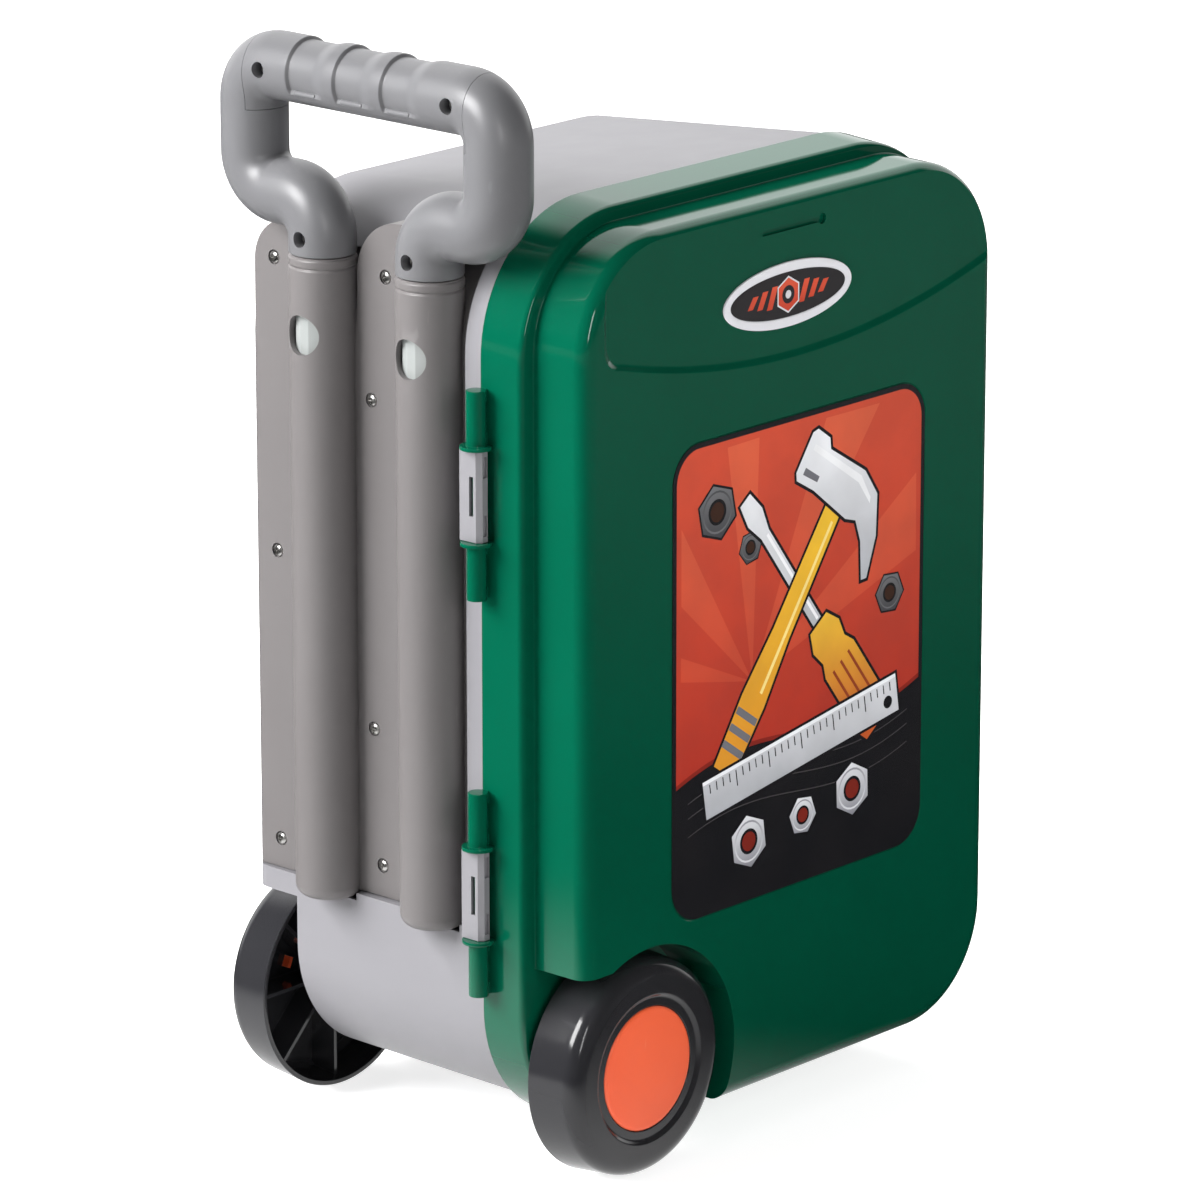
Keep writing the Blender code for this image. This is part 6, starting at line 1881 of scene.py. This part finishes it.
@dataclass
class Screw:
    """A pan-head screw driven along X, with a crossed recess."""

    name: str
    body: str
    seat: Vector
    head: float = 0.0032
    thickness: float = 0.0016
    shank: float = 0.0015
    length: float = 0.005
    cross: Pair = (0.0036, 0.0008)
    cross_depth: float = 0.0009

    def build(self, finishes: Finishes) -> bpy.types.Object:
        """Make the screw."""
        head, tall = self.head, self.thickness
        line = [(0.0, tall), (head * 0.6, tall * 0.94), (head * 0.9, tall * 0.6), (head, tall * 0.25)]
        line += [(head, 0.0), (self.shank, 0.0), (self.shank, -self.length), (0.0, -self.length)]
        screw = lathe(f"{self.name}_pan", line, self.seat, Matrix.Rotation(-math.pi / 2, 4, "Y"), 32)
        top = self.seat.x - self.thickness
        for wide, high in (self.cross, self.cross[::-1]):
            start = Vector((top - self.cross_depth, self.seat.y - wide / 2, self.seat.z - high / 2))
            stop = Vector((top + self.cross_depth, self.seat.y + wide / 2, self.seat.z + high / 2))
            screw.cut(boxes("recess", [(start, stop)]))
        return screw.dress(self.body, "steel", finishes.steel, (self.name,))


def build_screws(finishes: Finishes, housing: Housing, handle: Handle) -> None:
    """Make all screws of the housing and the handle."""
    for index, (depth, height) in enumerate(housing.screws):
        face = housing.screw_face(index)
        seat = Vector((face + 0.0012 - FIT_GAP, depth, height))
        length = 0.005 + housing.case.plate_face(depth, height) - face
        Screw(f"housing_screw_{index + 1}", "case", seat, length=length).build(finishes)
    floor = handle.axis_x - handle.radius + 0.007 - FIT_GAP
    for depth, sign, word in zip(handle.depths, (-1, 1), ("front", "rear")):
        Screw(f"socket_screw_{word}", "handle", Vector((floor, depth, handle.base + 0.009))).build(finishes)
        grip_place = Vector((floor, handle.middle + sign * handle.screw_spacing / 2, handle.grip_height))
        Screw(f"grip_screw_{word}", "handle", grip_place).build(finishes)


class PlainParts:
    """The CAD nodes that keep their own shape and only take a finish."""

    def __init__(self, finishes: Finishes) -> None:
        """Pair words of node names with finishes."""
        self.looks = {
            "foot_": finishes.case,
            "_clip_": finishes.case,
            "lock_button": finishes.pale,
            "tube_guide": finishes.black,
            "handle_tube": finishes.steel,
            "axle": finishes.steel,
        }

    def dress(self, nodes: dict[str, bpy.types.Object]) -> None:
        """Give each shown node its finish.

        Args:
            nodes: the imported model's nodes by name.
        """
        for name, item in nodes.items():
            finish = next((look for word, look in self.looks.items() if word in name), None)
            if finish is None or item.hide_render:
                continue
            item.data.materials.clear()
            item.data.materials.append(finish)
            LOG.info("%s: %s", name, finish.name)


# Studio


@dataclass
class Lamp:
    """A soft lamp.

    Attributes:
        size: its width; tall is its height where that differs.
        mirrored: whether glossy surfaces show it.
        lights: whether it lights surfaces, apart from what they mirror.
        only: the finishes that it reaches; none for all.
    """

    name: str
    place: Vector
    aim: Vector
    size: float
    watts: float
    tall: float | None = None
    mirrored: bool = False
    lights: bool = True
    only: tuple[bpy.types.Material, ...] = ()

    def link(self, item: bpy.types.Object) -> None:
        """Let the lamp reach only the pieces of the finishes it is for."""
        group = bpy.data.collections.new(f"{self.name}_pieces")
        for piece in bpy.context.scene.objects:
            if piece.type == "MESH" and any(slot.material in self.only for slot in piece.material_slots):
                group.objects.link(piece)
        item.light_linking.receiver_collection = group

    def build(self) -> None:
        """Hang the lamp."""
        data = bpy.data.lights.new(self.name, "AREA")
        data.energy = self.watts
        data.shape = "RECTANGLE"
        data.size = self.size
        data.size_y = self.tall or self.size
        item = bpy.data.objects.new(self.name, data)
        item.location = self.place
        item.rotation_euler = (self.aim - self.place).to_track_quat("-Z", "Y").to_euler()
        item.visible_glossy = self.mirrored
        item.visible_diffuse = self.lights
        bpy.context.scene.collection.objects.link(item)
        if self.only:
            self.link(item)


@dataclass
class Studio:
    """Floor, backdrop, lamps and camera."""

    finishes: Finishes
    camera_place: Vector = field(default_factory=lambda: Vector((-2.72791, -2.44096, 1.32584)))
    camera_ahead: Vector = field(default_factory=lambda: Vector((0.7149269, 0.6412871, -0.2786224)))
    lens: float = 216.711
    floor_light: float = 0.74
    ambient: float = 0.30
    far_glow: Colour = (-1.0, 0.9, 0.0)
    near_glow: Colour = (-0.22, 0.0, 0.0)
    wall_way: Colour = (0.745, 0.667, 0.0)

    def camera(self) -> None:
        """Place the camera where the photograph was taken."""
        data = bpy.data.cameras.new("photo_camera")
        data.lens = self.lens
        data.sensor_width = 36.0
        data.sensor_fit = "HORIZONTAL"
        data.clip_end = 50.0
        item = bpy.data.objects.new("photo_camera", data)
        right = self.camera_ahead.cross(Vector((0.0, 0.0, 1.0))).normalized()
        up = right.cross(self.camera_ahead).normalized()
        turn = Matrix((right, up, -self.camera_ahead)).transposed()
        item.matrix_world = Matrix.Translation(self.camera_place) @ turn.to_4x4()
        bpy.context.scene.collection.objects.link(item)
        bpy.context.scene.camera = item

    def floor(self) -> None:
        """A pale floor that shows white to the camera and keeps a soft shadow; to glossy rays it shows
        painted light instead.
        """
        bm = bmesh.new()
        bmesh.ops.create_grid(bm, x_segments=8, y_segments=8, size=12.0)
        mesh = bpy.data.meshes.new("studio_floor")
        bm.to_mesh(mesh)
        bm.free()
        item = bpy.data.objects.new("studio_floor", mesh)
        item.location = (0.0, 0.0, -0.0004)
        bpy.context.scene.collection.objects.link(item)
        material, board, shader = new_material("floor_white")
        board.fill(shader, {"Base Color": (0.80, 0.80, 0.80), "Roughness": 0.9, "Specular IOR Level": 0.1})
        rays = board.add("LightPath").outputs
        lit = board.add("Emission", {"Color": WHITE, "Strength": self.floor_light}).outputs[0]
        seen = board.add("AddShader", {0: lit, 1: shader.outputs[0]}).outputs[0]
        # Painted light seen only in reflections: a bright glow on the floor beside the wheels, and a
        # painted shadow, dark round the object, with a dim glow further off.
        spot = board.add("NewGeometry").outputs["Position"]
        away, near = (
            board.add("VectorMath", {0: spot, 1: start}, operation="DISTANCE").outputs["Value"]
            for start in (self.far_glow, self.near_glow)
        )
        far_light = board.ramp(away, 1.8, 3.2, 0.0, 0.17)
        near_light = board.ramp(near, 0.18, 0.42, 1.2, 0.004)
        glow = board.math("ADD", far_light, near_light)
        mirror = board.add("Emission", {"Color": WHITE, "Strength": glow}).outputs[0]
        share = board.math("ADD", rays["Is Glossy Ray"], rays["Is Transmission Ray"], clamp=True)
        bounced = board.add("MixShader", {0: share, 1: shader.outputs[0], 2: mirror}).outputs[0]
        whole = board.add("MixShader", {0: rays["Is Camera Ray"], 1: bounced, 2: seen}).outputs[0]
        board.fill(material.node_tree.nodes["Material Output"], {"Surface": whole})
        mesh.materials.append(material)

    def sky(self) -> None:
        """The world: white to the camera, gray for light, and a pale wall behind that only gloss shows."""
        world = bpy.data.worlds.new("studio_world")
        bpy.context.scene.world = world
        world.use_nodes = True
        board = NodeBoard(world.node_tree)
        for node in list(world.node_tree.nodes):
            if node.type == "BACKGROUND":
                world.node_tree.nodes.remove(node)
        rays = board.add("LightPath").outputs
        way = board.add("TexCoord").outputs["Generated"]
        behind = board.add("VectorMath", {0: way, 1: self.wall_way}, operation="DOT_PRODUCT")
        wall = board.ramp(behind.outputs["Value"], 0.40, 0.60, 0.015, 1.35)
        ambient, mirrored, white = (
            board.add("Background", {"Color": WHITE, "Strength": strength}).outputs[0]
            for strength in (self.ambient, wall, 1.0)
        )
        inner = board.add("MixShader", {0: rays["Is Glossy Ray"], 1: ambient, 2: mirrored}).outputs[0]
        share = board.math("ADD", rays["Is Camera Ray"], rays["Is Transmission Ray"], clamp=True)
        mixed = board.add("MixShader", {0: share, 1: inner, 2: white}).outputs[0]
        board.fill(world.node_tree.nodes["World Output"], {"Surface": mixed})

    def lamps(self) -> None:
        """Hang the lamps.

        A large key on the left, a front fill and a panel above light the object and are not mirrored.
        A narrow catch light and a second key only show in reflections. The second key shows in the
        handle, the housing, the black plastic and the steel alone.
        """
        middle = Vector((0.0, 0.0, 0.28))
        satin = (self.finishes.handle, self.finishes.housing, self.finishes.black, self.finishes.steel)
        shown = {"mirrored": True, "lights": False}
        for lamp in (
            Lamp("key_left", Vector((-2.07, 1.62, 1.75)), middle, 2.0, 320.0),
            Lamp("front_fill", Vector((-0.9, -2.65, 1.2)), middle, 1.6, 31.0),
            Lamp("top_panel", Vector((0.9, 0.6, 1.9)), middle, 0.9, 24.0),
            Lamp("catch_light", Vector((-1.75, -2.3, 1.25)), middle, 0.25, 9.0, tall=1.1, **shown),
            Lamp("key_mirror", Vector((-2.45, 0.5, 1.9)), middle, 1.3, 95.0, only=satin, **shown),
        ):
            lamp.build()

    def build(self) -> None:
        """Set the stage."""
        self.camera()
        self.floor()
        self.sky()
        self.lamps()
        bpy.context.scene.view_settings.view_transform = "Standard"


def main() -> None:
    """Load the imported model, build the finer pieces, dress everything and set the stage."""
    logging.basicConfig(level=logging.INFO, format="%(name)s %(message)s")
    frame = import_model()
    finishes = Finishes()
    door = DoorShell()
    door.build(finishes)
    LabelArt().build(finishes, door)
    Badge().build(finishes, door)
    Wheel("front", -1, -0.03195, "front_wheel").build(finishes)
    Wheel("rear", 1, 0.1563, "rear_wheel").build(finishes)
    handle = Handle()
    handle.build(finishes)
    case = CaseShell()
    case.build(finishes)
    housing = Housing(case)
    housing.build(finishes)
    build_screws(finishes, housing, handle)
    PlainParts(finishes).dress(frame["nodes"])
    Studio(finishes).build()


if __name__ == "__main__":
    main()
